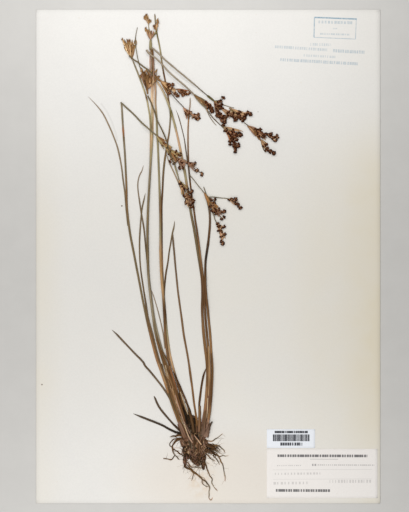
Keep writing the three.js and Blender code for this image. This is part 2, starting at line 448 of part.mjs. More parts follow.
// Panicles: forked stalks that end in small heads. The first stalk is the panicle's own stem, which on a folded
// stem is the end that was bent over. Every other stalk leaves the nearest point of those before it.
const PANICLES = {
  panicle_top: { colour: "palePanicle", stalks: [
    [[-48.6, 184], [-48.6, 187], [-49.6, 190.5], [-50.4, 195], [-50.2, 198.6], [-51.4, 201.8], [-53, 204.3]],
    [[-48.7, 186], [-50.6, 188.6], [-51.5, 190.8], [-52.9, 193.3]],
    [[-48.6, 185.5], [-47.2, 187.4], [-46.4, 189]],
  ], heads: [[-49.8, 199.7], [-51.9, 202.4], [-53.2, 204.8], [-54.7, 203.3], [-52.9, 193], [-51.4, 191.2],
    [-48.8, 189.6], [-47.9, 187.4], [-50.9, 188.8]] },
  panicle_tall: { colour: "palePanicle", stalks: [
    [[-43.3, 191.5], [-43.4, 194.5], [-43.2, 197.5], [-42.6, 199.8]],
    [[-43.4, 193.6], [-45.6, 194.8]],
  ], heads: [[-42.6, 199.8], [-43.3, 197.6], [-44, 196], [-45.7, 195], [-44.6, 193]] },
  panicle_left: { colour: "palePanicle", stalks: [
    [[-64.4, 167.1], [-65.3, 170.5], [-67.6, 174], [-69.6, 177.5], [-70.8, 181], [-72.2, 183.7]],
    [[-65, 169.5], [-66.2, 174], [-67.7, 178], [-68.6, 182.4]],
    [[-64.9, 170], [-64.7, 173.5], [-64.2, 176.5], [-62.7, 178.8]],
    [[-65.4, 174], [-66.4, 179], [-66.9, 182.8]],
    [[-64, 176.8], [-63.6, 179.6], [-62.2, 181.4]],
  ], heads: [[-72.1, 183.4], [-70.6, 181.3], [-69.7, 179], [-70.2, 176.9], [-68.5, 183], [-68.7, 179.8],
    [-66.9, 182.9], [-67.2, 180.6], [-66.3, 177.6], [-64.2, 176], [-64.7, 173], [-62.7, 178.2],
    [-64.3, 181.6], [-61.4, 179.6], [-61.9, 182.5], [-67.2, 173], [-65.4, 171], [-68.6, 175]] },
  panicle_brown: { colour: "panicle", stalks: [
    [[-51.4, 139.8], [-52.2, 143.5], [-53.6, 148], [-54.2, 152.5], [-55.6, 156.5], [-56.7, 158.6]],
    [[-51.5, 141.5], [-50.9, 146], [-50.6, 151], [-51, 155.5], [-51.9, 157.6]],
    [[-51, 142.5], [-48.6, 146.5], [-47.3, 150.5], [-47.2, 154.5], [-47.8, 156.7]],
    [[-49.8, 144.5], [-46.6, 147.6], [-44.8, 151], [-43.8, 154], [-44, 157]],
    [[-56.4, 157.5], [-57.9, 160.5], [-59.2, 165.5], [-60.6, 172], [-61.6, 180], [-61.4, 187], [-60, 194.2]],
  ], heads: [[-56.7, 158.6], [-53.9, 156], [-55.2, 153.5], [-57, 153.2], [-54.3, 150.6], [-53.4, 148],
    [-52.9, 145.2], [-51.8, 142.8], [-50.6, 152.2], [-50.1, 155.4], [-51.9, 157.8], [-50.9, 148.9],
    [-49.4, 146.8], [-47.4, 153.4], [-47.8, 156.6], [-45.6, 155], [-44, 157.1], [-43.8, 151.3],
    [-45.2, 148.8], [-47, 145.8], [-42.2, 151.6], [-48.5, 150.2]] },
  panicle_middle: { colour: "panicle", leg: 1.3, stalks: [
    [[-66.9, 170.1], [-63.5, 167], [-59.7, 164.6], [-55, 160.8], [-49.8, 157], [-45, 151.4], [-41.5, 148.6],
      [-38, 146.4], [-35.4, 143.4], [-33.7, 140.4], [-32.9, 137.8]],
    [[-37.5, 146.4], [-34, 146], [-31.8, 145.2], [-29.3, 145.6]],
    [[-35.4, 143.6], [-32.4, 143], [-30.5, 142]],
    [[-33.4, 140], [-30.5, 139.2], [-28, 137.6], [-25.6, 136.3]],
    [[-31, 142.4], [-28, 142], [-24.8, 140.4], [-21.6, 139.6], [-18.6, 138.3], [-15.4, 139.3]],
    [[-21.8, 139.5], [-21.2, 136.6]],
  ], heads: [[-29.2, 145.6], [-31.9, 145], [-33.7, 143.3], [-30.7, 142.1], [-32.2, 139.7], [-33, 137.6],
    [-34.5, 145.6], [-28.3, 138], [-26.5, 136.8], [-25.2, 136], [-23.9, 138.7], [-22, 140.3], [-21.1, 136.3],
    [-18.7, 138.4], [-17.2, 137.2], [-15.4, 139.4], [-20.2, 138]] },
  panicle_small: { colour: "panicle", stalks: [
    [[-29.4, 134.6], [-25.2, 131.2], [-21.3, 127], [-18.9, 123.4], [-17.4, 119.6], [-16.9, 116.4]],
    [[-17.8, 121.4], [-14.6, 121.8]],
    [[-17.4, 119.6], [-14.9, 119], [-12, 119.8], [-9.2, 119.7], [-8, 120.5]],
    [[-13.6, 119.3], [-12.2, 118], [-9.8, 117.6], [-8.6, 116]],
  ], heads: [[-18.6, 122.5], [-19, 120.6], [-14.4, 122], [-16.6, 120.6], [-16.4, 118.2], [-11.6, 120.4],
    [-12.6, 117.9], [-9.2, 119.4], [-7.8, 120.8], [-8.6, 115.7], [-7.2, 117.6], [-10, 117.4]] },
  panicle_centre: { colour: "panicle", leg: 1.4, stalks: [
    [[-74.2, 130.6], [-70, 127.5], [-65, 123.5], [-60, 118.8], [-55, 113.6], [-50.5, 109.6], [-46.5, 105.2],
      [-42.6, 101.2], [-39, 96.5], [-35, 92], [-31.8, 87.8], [-28.6, 84.8], [-25.5, 82.2], [-22, 80.4],
      [-17.5, 79.6], [-13.6, 78.2], [-10.6, 79.2]],
    [[-34.8, 91.8], [-30.5, 90.2], [-27, 88.4], [-23.8, 86.8]],
    [[-34, 90.6], [-32.8, 86.4], [-31.3, 82.6], [-28.8, 78.6]],
    [[-26, 82.4], [-24.6, 78.5], [-23.4, 75], [-21.3, 74.8]],
    [[-17.6, 79.4], [-14.4, 76.2], [-10.2, 73.2], [-6.6, 71], [-5.4, 69.3]],
  ], heads: [[-38.9, 94.2], [-36.6, 96], [-34.2, 92.2], [-32.2, 89], [-27.1, 88.7], [-23.1, 87.3],
    [-24.3, 85.4], [-33.6, 86.6], [-31, 82.4], [-32.5, 80.2], [-28.6, 78.4], [-25.6, 81.5], [-22.6, 79.8],
    [-24.9, 74.7], [-21.2, 75.2], [-17.4, 79.4], [-12.8, 76.9], [-10.6, 79.4], [-14.2, 78.8], [-8.9, 73.5],
    [-10.4, 72.1], [-5, 70.8], [-5.6, 68.5], [-28.4, 85.2]] },
  panicle_low: { colour: "panicle", leg: 1.2, stalks: [
    [[-51.2, 136.2], [-48.3, 130], [-45.2, 121.8], [-42.8, 114.5], [-38.6, 106], [-35.2, 97.6], [-33.6, 91.5],
      [-30.5, 82.5], [-28, 76.8], [-25, 66], [-23.2, 61.5], [-20.6, 57], [-18.6, 52], [-17, 48.2],
      [-15.2, 43.6], [-14.3, 41]],
    [[-20.8, 57.5], [-17.4, 56.8], [-15.4, 54.8], [-13.4, 55.3]],
    [[-19, 53], [-20.4, 50.8]],
    [[-18, 51.2], [-14.6, 50.5]],
    [[-17, 48.6], [-19.2, 45.6]],
    [[-15.8, 44.8], [-13.4, 45.6], [-12.8, 48]],
  ], heads: [[-23.4, 61.6], [-21.9, 60.1], [-20.4, 57.1], [-17.2, 56.9], [-16, 53.9], [-14.2, 53.6],
    [-13.2, 55.6], [-20.4, 50.9], [-16.9, 48.5], [-14.5, 50.5], [-19.5, 46.4], [-18.4, 44.6], [-12.7, 48],
    [-13.1, 45.2], [-14.4, 41.3], [-15.7, 43.5], [-12.6, 42], [-17.2, 52]] },
  panicle_right_lower: { colour: "panicle", leg: 1.3, stalks: [
    [[-52, 174.8], [-50.4, 172.3], [-48.2, 170.2], [-44.6, 168], [-39.6, 163], [-34, 157.6], [-28, 152.2],
      [-21, 146], [-14.6, 139.6], [-9.6, 134.6], [-5, 129.4], [-0.4, 123.4], [4, 117.6], [8.6, 113],
      [12.8, 109.2], [15.6, 106.4], [18.6, 104], [20.4, 101.6], [20.4, 98.4], [21.6, 95.6], [22.8, 92],
      [22.8, 88.6]],
    [[-9.6, 134.6], [-5, 132.8], [-1, 130.4], [1.4, 128], [3, 125.6]],
    [[-6.5, 131.1], [-2, 127.6], [1, 124.6], [2.8, 123]],
    [[13.6, 108.4], [17.5, 107.2], [21, 106], [24.4, 104.4], [28.2, 102.8]],
    [[20.2, 101.9], [23, 101], [24.2, 98.8]],
    [[19.2, 103.4], [18.4, 99.5], [18.6, 95]],
    [[21.6, 95.6], [24.2, 94.2], [26, 94.6]],
    [[-1.4, 124.6], [0.8, 119.4], [3.6, 115], [6.9, 111.2]],
  ], heads: [[-1.6, 130.1], [0.7, 128.4], [2, 126.1], [3.6, 125.2], [2.3, 122.8], [4.4, 123.6], [0.2, 126],
    [15.4, 106.6], [17.2, 104.3], [19, 103.2], [20.6, 105.8], [19.2, 101.4], [21.4, 101.2], [24.2, 104.1],
    [25.4, 102.2], [28.3, 102.9], [27.2, 104.4], [23.2, 101.2], [20.8, 99.2], [24.2, 98.4], [18.3, 97.2],
    [18.6, 94.7], [22.2, 96.2], [21.2, 93.4], [26.3, 94.6], [24.6, 92.9], [23.4, 91.2], [22.8, 88.3]] },
  panicle_right_upper: { colour: "panicle", leg: 1.3, stalks: [
    [[-47.8, 176.8], [-43.5, 173.3], [-40, 170.4], [-34.5, 165.2], [-28.5, 160.3], [-22, 155], [-15, 149],
      [-8, 142.6], [0, 135.8], [5.5, 131.2], [8.4, 129.2], [11, 127.4], [11.6, 125.4]],
    [[8.2, 129.3], [10.2, 131.4], [12.2, 133.6]],
    [[9, 128.7], [12, 128.6]],
    [[6, 130.9], [6.6, 126.5], [8.6, 123.8], [10.2, 121], [9.6, 118.2]],
    [[11.5, 125.5], [14.6, 124.4], [17.4, 122.2], [19.4, 119.8], [21.6, 118.4], [22.8, 115.4]],
    [[17.8, 121.8], [21.4, 121.6], [24.4, 120.8], [26.2, 119], [28, 116.8], [29.6, 114.9]],
    [[24.2, 120.8], [26.8, 122.9]],
    [[28, 116.9], [30.8, 118.4], [32, 120.6], [34, 121.8], [36.2, 120.4]],
    [[9.7, 118.4], [12.8, 118], [15.2, 118.4]],
    [[12.6, 118], [14, 114.6], [13, 111.4]],
    [[8.4, 129.2], [13, 128.4], [18, 126.9], [24, 125.2], [30, 124]],
  ], heads: [[8.6, 131.5], [11, 132.1], [12.9, 134.8], [7.2, 127.8], [9.4, 127.6], [11.8, 128.7],
    [6.5, 125.6], [8.3, 124], [11.5, 125.4], [8.8, 122.2], [10.4, 120.8], [7.1, 119.7], [9.4, 118],
    [11.2, 117.2], [13.3, 118.8], [15.5, 118.2], [14.6, 116.2], [13, 113.5], [14.7, 113.2], [12.8, 111],
    [17.6, 122.3], [17, 119.7], [19.1, 118.9], [21.5, 121.6], [20.7, 119.2], [23, 115], [21.8, 117.2],
    [24.2, 116.6], [25.6, 121.2], [27.1, 122.8], [26.3, 119.1], [25.4, 117.5], [27.4, 116.7],
    [29.6, 114.8], [31.1, 118.2], [30.6, 116.4], [31.7, 120.1], [33.8, 121.9], [36.4, 120.1]] },
  panicle_far_right: { colour: "panicle", stalks: [
    [[30.6, 113.2], [34.5, 110.6], [37.6, 108.6], [41, 106.4], [44.2, 104.8], [47.6, 103.6], [51.4, 102.8],
      [54.4, 100.4], [56.8, 98.4]],
    [[40.4, 106.8], [44.4, 107.6]],
    [[43, 105.4], [42.6, 101.6], [44.4, 98.4], [46.8, 95.2], [48.6, 92.4], [49.2, 89.8]],
    [[46, 104.1], [47.1, 101]],
    [[50.4, 103], [53.4, 103.9]],
    [[54.6, 100.2], [56.4, 102.2], [58.4, 101.8]],
    [[48.2, 93], [51, 90.8], [53.2, 89.2], [55.8, 87.8]],
    [[46.8, 95.2], [49.6, 95]],
  ], heads: [[39.5, 107.8], [40.8, 106], [42.6, 107.6], [44.6, 107.8], [42, 104.2], [42.8, 101.7],
    [45.4, 105.2], [47.1, 101], [46.5, 103], [48.6, 104.2], [51, 102.5], [52.6, 104.4], [53.9, 103.8],
    [52.2, 101.2], [54.6, 99.4], [57, 97.6], [55.6, 101.2], [58.6, 102.1], [58.4, 100.2], [47.7, 93.4],
    [49.8, 95], [50.4, 92], [48.4, 89.8], [50.5, 89.8], [52, 88.3], [53.6, 90], [55.2, 86.6], [56.6, 88]] },
  panicle_right: { colour: "panicle", stalks: [
    [[-16.2, 69.6], [-12.9, 65.6], [-9.5, 61.4], [-6.1, 57.2], [-3.4, 53.8], [-0.6, 50.6], [1.4, 47],
      [2.8, 43.6], [3.6, 40], [4.4, 36.8], [5.6, 32], [7.6, 28], [9, 25], [9.4, 21.6], [10.6, 18],
    [11.6, 14.6], [12.2, 10.6]], [[0.4, 49], [4, 48.2], [6.2, 48.2]],
    [[2.6, 44], [5.4, 45.8]],
    [[3.4, 41.4], [6.4, 38.4], [9.4, 39.4], [12, 37.6], [14.4, 38.4]],
    [[6, 38.6], [7.4, 35.8]],
    [[6.6, 37.4], [9.6, 34.6], [12, 32.4], [13.8, 33.2]],
    [[-0.6, 50.6], [5, 50.3], [10, 49.8], [15.4, 49.2], [19, 48.6], [22, 47.6], [24.2, 44.8], [26.4, 42.2],
      [27.8, 41]],
    [[21.6, 47.8], [23.8, 48.8]],
    [[8.2, 26.8], [11.4, 25.2], [14.2, 25.4]],
    [[9.6, 20.8], [12, 20], [14, 18.6]],
    [[-1, 51.1], [-1.9, 53.8], [-2.8, 56.3], [-3.9, 59]],
  ], heads: [[2.4, 47.9], [6.2, 48.4], [5.6, 45.8], [1.5, 41.9], [4.4, 43.6], [5.5, 40.8], [3.3, 38.2],
    [7.2, 35.7], [6.6, 38.7], [9.5, 39.6], [12, 36.9], [14.5, 38.4], [11.5, 31.4], [13.8, 33.4], [18, 47.5],
    [19.9, 49.1], [22, 47], [24, 48.8], [23.3, 44.3], [25.4, 44.6], [26.5, 41.4], [28, 40.8], [9.2, 25.2],
    [12, 24.2], [14.3, 25.5], [9.2, 21.7], [11, 21.8], [14.3, 18.5], [11.1, 16.5], [10.7, 12.6], [13.3, 11.8],
    [12.2, 9.9], [7.9, 27.6]] },
};
const PEAK_BLOCK = 1; // side of the squares that a panicle's floor is worked out from
const PILE = 4; // how high the tallest pile near a panicle is

// The floor under a panicle: nowhere lower than what lies within SPREAD, and no steeper than CLIMB past that
function floorUnder(points) {
  const box = new THREE.Box2().setFromPoints(points.map(([x, y]) => new THREE.Vector2(x, y)));
  box.expandByScalar(SPREAD + PILE / CLIMB);
  const peaks = [];
  for (let x = box.min.x; x < box.max.x; x += PEAK_BLOCK)
    for (let y = box.min.y; y < box.max.y; y += PEAK_BLOCK) {
      const top = highestUnder(x, y, PEAK_BLOCK * Math.SQRT1_2);
      if (top > SHEET.thickness) peaks.push([x, y, top]);
    }
  const bare = SHEET.thickness + GAP;
  return (x, y) =>
    peaks.reduce((height, [px, py, top]) => {
      const away = Math.max(0, Math.hypot(px - x, py - y) - SPREAD);
      return Math.max(height, top + GAP - CLIMB * away);
    }, bare);
}

function nearestOn(stalks, x, y) {
  let best = { gap: Infinity };
  for (const stalk of stalks)
    for (let i = 1; i < stalk.length; i++) {
      const [a, b] = [stalk[i - 1], stalk[i]];
      const line = new THREE.Line3(new THREE.Vector3(a.x, a.y, a.z), new THREE.Vector3(b.x, b.y, b.z));
      const flat = new THREE.Line3(new THREE.Vector3(a.x, a.y, 0), new THREE.Vector3(b.x, b.y, 0));
      const t = flat.closestPointToPointParameter(new THREE.Vector3(x, y, 0), true);
      const point = line.at(t, new THREE.Vector3());
      const gap = Math.hypot(point.x - x, point.y - y);
      const along = new THREE.Vector2(b.x - a.x, b.y - a.y).normalize();
      if (gap < best.gap) best = { gap, point, along };
    }
  return best;
}

function makePanicle({ stalks, heads, leg = STALK.width }) {
  const floor = floorUnder([...stalks.flat(), ...heads]);
  const laid = [];
  const solids = [];
  for (const [k, stalk] of stalks.entries()) {
    const route = stalk.map((point) => [...point]);
    if (k > 0) {
      const root = nearestOn(laid, ...route[0]).point;
      route[0] = [root.x, root.y];
    }
    const path = straighten(route, STALK_BEND);
    const heights = path.places.map((p) => floor(p.x, p.y));
    const rings = ringsOver(heights, path, [k > 0 ? STALK.width : leg, STALK.width], STALK.height);
    laid.push(rings);
    solids.push(toSolid(sweep(SECTIONS.stalk, rings)));
  }
  const beds = [...laid];
  const apart = heads.filter(([x, y], i) =>
    heads.slice(0, i).every(([hx, hy]) => Math.hypot(hx - x, hy - y) > HEAD.crowding));
  for (const [x, y] of apart) {
    const root = nearestOn(laid, x, y);
    const inLine = root.gap < STALK.width / 2;
    const out = inLine ? root.along : new THREE.Vector2(x - root.point.x, y - root.point.y).normalize();
    const z = floor(x, y);
    const corner = (along, across, up) =>
      new THREE.Vector3(x + out.x * along - out.y * across, y + out.y * along + out.x * across, z + up);
    const back = inLine ? HEAD.endBack : root.gap + HEAD.sideBack;
    const start = corner(-back, 0, 0).setZ(root.point.z + STALK.height / 2);
    const tip = corner(HEAD.reach, 0, 0);
    const head = new ConvexGeometry([
      start,
      tip,
      corner(0, HEAD.width / 2, 0),
      corner(0, -HEAD.width / 2, 0),
      corner(0, 0, HEAD.height),
    ]);
    solids.push(toSolid(welded(head)));
    const bulk = { z, width: HEAD.width, height: HEAD.height };
    beds.push([{ x: start.x, y: start.y, ...bulk }, { x: tip.x, y: tip.y, ...bulk }]);
  }
  for (const rings of beds) raiseAlong(rings);
  return toGeometry(joined(solids));
}

for (const [name, panicle] of Object.entries(PANICLES))
  addMesh(name, makePanicle(panicle), COLOURS[panicle.colour], ROUGHNESS.panicle);

for (const mesh of part.children) mesh.geometry.computeVertexNormals();

export default part;
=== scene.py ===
"""A dried, pressed narrow-panicled rush on its mounting sheet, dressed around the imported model."""

import json
import math
import zlib

import bpy
import numpy as np
from bpy.props import FloatProperty, FloatVectorProperty, IntProperty, PointerProperty
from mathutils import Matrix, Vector, noise
from mathutils.bvhtree import BVHTree


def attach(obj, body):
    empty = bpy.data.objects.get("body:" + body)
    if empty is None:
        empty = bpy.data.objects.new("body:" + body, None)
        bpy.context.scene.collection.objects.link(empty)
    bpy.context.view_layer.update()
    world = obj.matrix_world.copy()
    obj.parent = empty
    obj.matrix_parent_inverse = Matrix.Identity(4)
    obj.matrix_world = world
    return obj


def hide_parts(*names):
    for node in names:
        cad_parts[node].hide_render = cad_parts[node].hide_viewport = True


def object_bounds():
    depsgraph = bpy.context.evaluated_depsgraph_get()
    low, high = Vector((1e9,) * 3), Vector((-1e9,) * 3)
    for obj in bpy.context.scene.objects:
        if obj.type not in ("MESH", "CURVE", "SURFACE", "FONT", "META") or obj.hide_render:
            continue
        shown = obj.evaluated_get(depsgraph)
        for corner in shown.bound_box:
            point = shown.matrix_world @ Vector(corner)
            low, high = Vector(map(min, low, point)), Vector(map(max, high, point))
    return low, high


bl_info = {
    "name": "Pressed rush on a mounting sheet",
    "version": (1, 0, 0),
    "blender": (4, 5, 0),
    "location": "3D View > Sidebar > Rush",
    "description": "Makes a dried rush with its roots, pressed on a mounting sheet with two bare slips",
    "category": "Object",
}

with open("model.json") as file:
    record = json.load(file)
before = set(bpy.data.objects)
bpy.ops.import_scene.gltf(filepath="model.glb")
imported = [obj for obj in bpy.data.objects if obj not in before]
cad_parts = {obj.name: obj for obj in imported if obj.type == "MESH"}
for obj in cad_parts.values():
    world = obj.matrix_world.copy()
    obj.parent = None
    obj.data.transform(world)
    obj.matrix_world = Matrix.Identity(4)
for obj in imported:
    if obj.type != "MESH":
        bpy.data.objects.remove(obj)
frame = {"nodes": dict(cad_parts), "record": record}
CAD_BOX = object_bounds()
SLOTS = {part["node"]: part["material_slot"] for part in frame["record"]["subparts"]}

# Places and lengths below are in millimetres, in the sheet's own frame. One millimetre in metres:
MM = 0.001


# Settings that a user would change

def linear(red, green, blue):
    """A screen colour, 0 to 255, as the light that it stands for."""
    shares = [value / 255 for value in (red, green, blue)]
    return tuple(s / 12.92 if s <= 0.04045 else ((s + 0.055) / 1.055) ** 2.4 for s in shares)


def colour(label, text, *screen):
    return FloatVectorProperty(
        name=label, description=text, subtype="COLOR", size=3, min=0, max=1, default=linear(*screen)
    )


def length(label, text, millimetres):
    return FloatProperty(
        name=label, description=text, unit="LENGTH", min=0, precision=5, default=millimetres * MM
    )


class RushColours(bpy.types.PropertyGroup):
    """The colours of the papers and of the dry plant"""

    paper: colour("Paper", "Mounting sheet", 231, 229, 225)
    toned: colour("Toned paper", "Mounting sheet where it has yellowed most", 226, 217, 196)
    stain: colour("Stain", "What the roots have left on the sheet", 222, 205, 184)
    label: colour("Label", "Large slip", 239, 234, 229)
    slip: colour("Number slip", "Small slip", 236, 239, 244)
    ink: colour("Ink", "Marks printed on the slips", 26, 27, 38)
    stamp: colour("Stamp", "Frame stamped at the top of the sheet", 112, 152, 174)
    near_black: colour("Near black", "Darkest dry leaves and hollows", 36, 25, 14)
    umber: colour("Umber", "Dark dry tissue", 60, 42, 24)
    dark_brown: colour("Dark brown", "Dark culms and leaves", 90, 62, 33)
    brown: colour("Brown", "Culms", 121, 89, 53)
    warm_brown: colour("Warm brown", "Culms", 142, 105, 66)
    golden: colour("Golden tan", "Bleached culms", 182, 146, 98)
    tan: colour("Tan", "Pale culms", 180, 148, 108)
    pale_tan: colour("Pale tan", "Palest culms", 200, 177, 142)
    olive: colour("Olive", "Culms that kept some green", 98, 88, 46)
    olive_brown: colour("Olive brown", "Most of the culms", 108, 92, 62)
    olive_tan: colour("Olive tan", "Pale greenish culms", 150, 138, 100)
    grey_brown: colour("Grey brown", "Dry leaves", 102, 88, 70)
    grey_olive: colour("Grey olive", "Thin culms", 126, 114, 88)
    reddish: colour("Reddish", "Reddened culms and husks", 140, 92, 58)
    purple_brown: colour("Purple brown", "Husks", 112, 82, 70)
    crown: colour("Crown", "Old tissue of the crown", 116, 84, 62)
    mauve: colour("Mauve brown", "Old husks and crown tissue", 138, 108, 90)
    pink_tan: colour("Pinkish tan", "Pale sides of husks", 174, 138, 115)
    straw: colour("Straw", "Dry husks and bracts", 200, 166, 130)
    bleached: colour("Bleached", "Thin bleached leaves and rootlets", 152, 138, 118)
    bract: colour("Bract", "Dry tissue of the panicles", 176, 145, 112)
    capsule: colour("Capsule", "Ripe capsules", 66, 28, 11)
    capsule_dark: colour("Dark capsule", "Darkest capsules", 26, 9, 2)
    capsule_pale: colour("Pale capsule", "Unripe capsules", 140, 90, 50)
    scale: colour("Flower scale", "Scales round a ripe capsule", 168, 116, 82)
    scale_pale: colour("Pale flower scale", "Scales round an unripe capsule", 214, 170, 132)


class RushSizes(bpy.types.PropertyGroup):
    """The sizes of the dry plant's parts"""

    culm_height: length("Culm height", "How high a pressed culm stands", 0.85)
    blade_thickness: length("Leaf thickness", "Thickness of a dry leaf", 0.2)
    husk_thickness: length("Husk thickness", "Thickness of a dry sheath", 0.14)
    stalk_width: length("Stalk width", "Width of a panicle's stalk at its foot", 0.75)
    capsule_length: length("Capsule length", "Length of a capsule", 2.25)
    capsule_width: length("Capsule width", "Width of a capsule", 1.62)
    scale_length: length("Scale length", "Length of a flower scale", 1.3)
    scale_width: length("Scale width", "Width of a flower scale", 0.5)
    rootlet_width: length("Rootlet width", "Width of a fine root at its foot", 0.26)
    rootlets: IntProperty(name="Rootlets", description="Fine roots that leave the crown", default=46, min=0)


def hue(name):
    """A named finish colour as numbers."""
    return np.array(getattr(bpy.context.scene.rush_colours, name))


def size(name):
    """A named size in millimetres."""
    return getattr(bpy.context.scene.rush_sizes, name) / MM


def points_of(text):
    """Places on the sheet, from pairs of x and y such as "-4,12.5 -3,14"."""
    return np.array(text.replace(",", " ").split(), float).reshape(-1, 2)


def stops_of(text):
    """Places along a piece with the colour at each, from text such as "0:umber 1:brown"."""
    return [(float(at), name) for at, name in (stop.split(":") for stop in text.split())]


# Tables of the plant. A route is pairs of x and y in millimetres, and colours are pairs of a place and a name

# Places along a culm where it swells a little, by height on the sheet
CULM_JOINTS = {
    "stem_far_left": (107,), "stem_left": (134,), "stem_middle": (109,), "stem_tall": (121, 189),
    "stem_tan": (72, 110, 122), "stem_folded_upper": (5,), "stem_slender": (-125,), "stem_right": (10,),
    "stem_folded_lower": (118,),
}
# Leaves that end broken off, not in a point
BROKEN_BLADES = ("leaf_stub_upper", "leaf_short_inner", "leaf_short_dark", "leaf_dark_outer")
# Colours of each panicle's stalks: the folded end of its culm, its own stalks, and each stalk that differs
STALK_TINTS = {
    "panicle_top": ("olive_tan", "tan", {}),
    "panicle_tall": ("olive_tan", "olive_tan", {}),
    "panicle_left": ("olive_tan", "tan", {}),
    "panicle_brown": ("brown", "warm_brown", {4: "grey_olive"}),
    "panicle_middle": ("olive_brown", "brown", {}),
    "panicle_small": ("grey_brown", "grey_brown", {}),
    "panicle_centre": ("grey_olive", "brown", {}),
    "panicle_low": ("olive_brown", "olive_brown", {}),
    "panicle_right_lower": ("bleached", "grey_brown", {4: "bleached", 7: "bleached"}),
    "panicle_right_upper": ("bleached", "grey_brown", {10: "bleached"}),
    "panicle_far_right": ("grey_brown", "brown", {}),
    "panicle_right": ("grey_olive", "olive_brown", {6: "grey_olive"}),
}
# Bracts, dry husks that clasp a panicle at its foot: route, width and colour
BRACTS = {
    "panicle_centre": ("-43,101.4 -38.2,96.2 -34.6,92.2", 2.2, "olive_tan"),
    "panicle_right_lower": ("-12.4,137.4 -6,133.4 0.4,130", 1.6, "grey_olive"),
    "panicle_low": ("-28.4,77.4 -25.6,68 -23.4,61.8", 1.4, "olive_tan"),
    "panicle_middle": ("-43.6,150.8 -38.4,147 -34.4,143.2", 1.9, "warm_brown"),
    "panicle_right_upper": ("-1,136.6 4.2,132.4 8.4,129", 1.9, "olive"),
    "panicle_brown": ("-51.2,137.4 -51.6,141 -51.4,144.4", 1.6, "warm_brown"),
    "panicle_top": ("-48.7,174.5 -48.8,181 -48.7,188", 2.6, "olive_tan"),
}
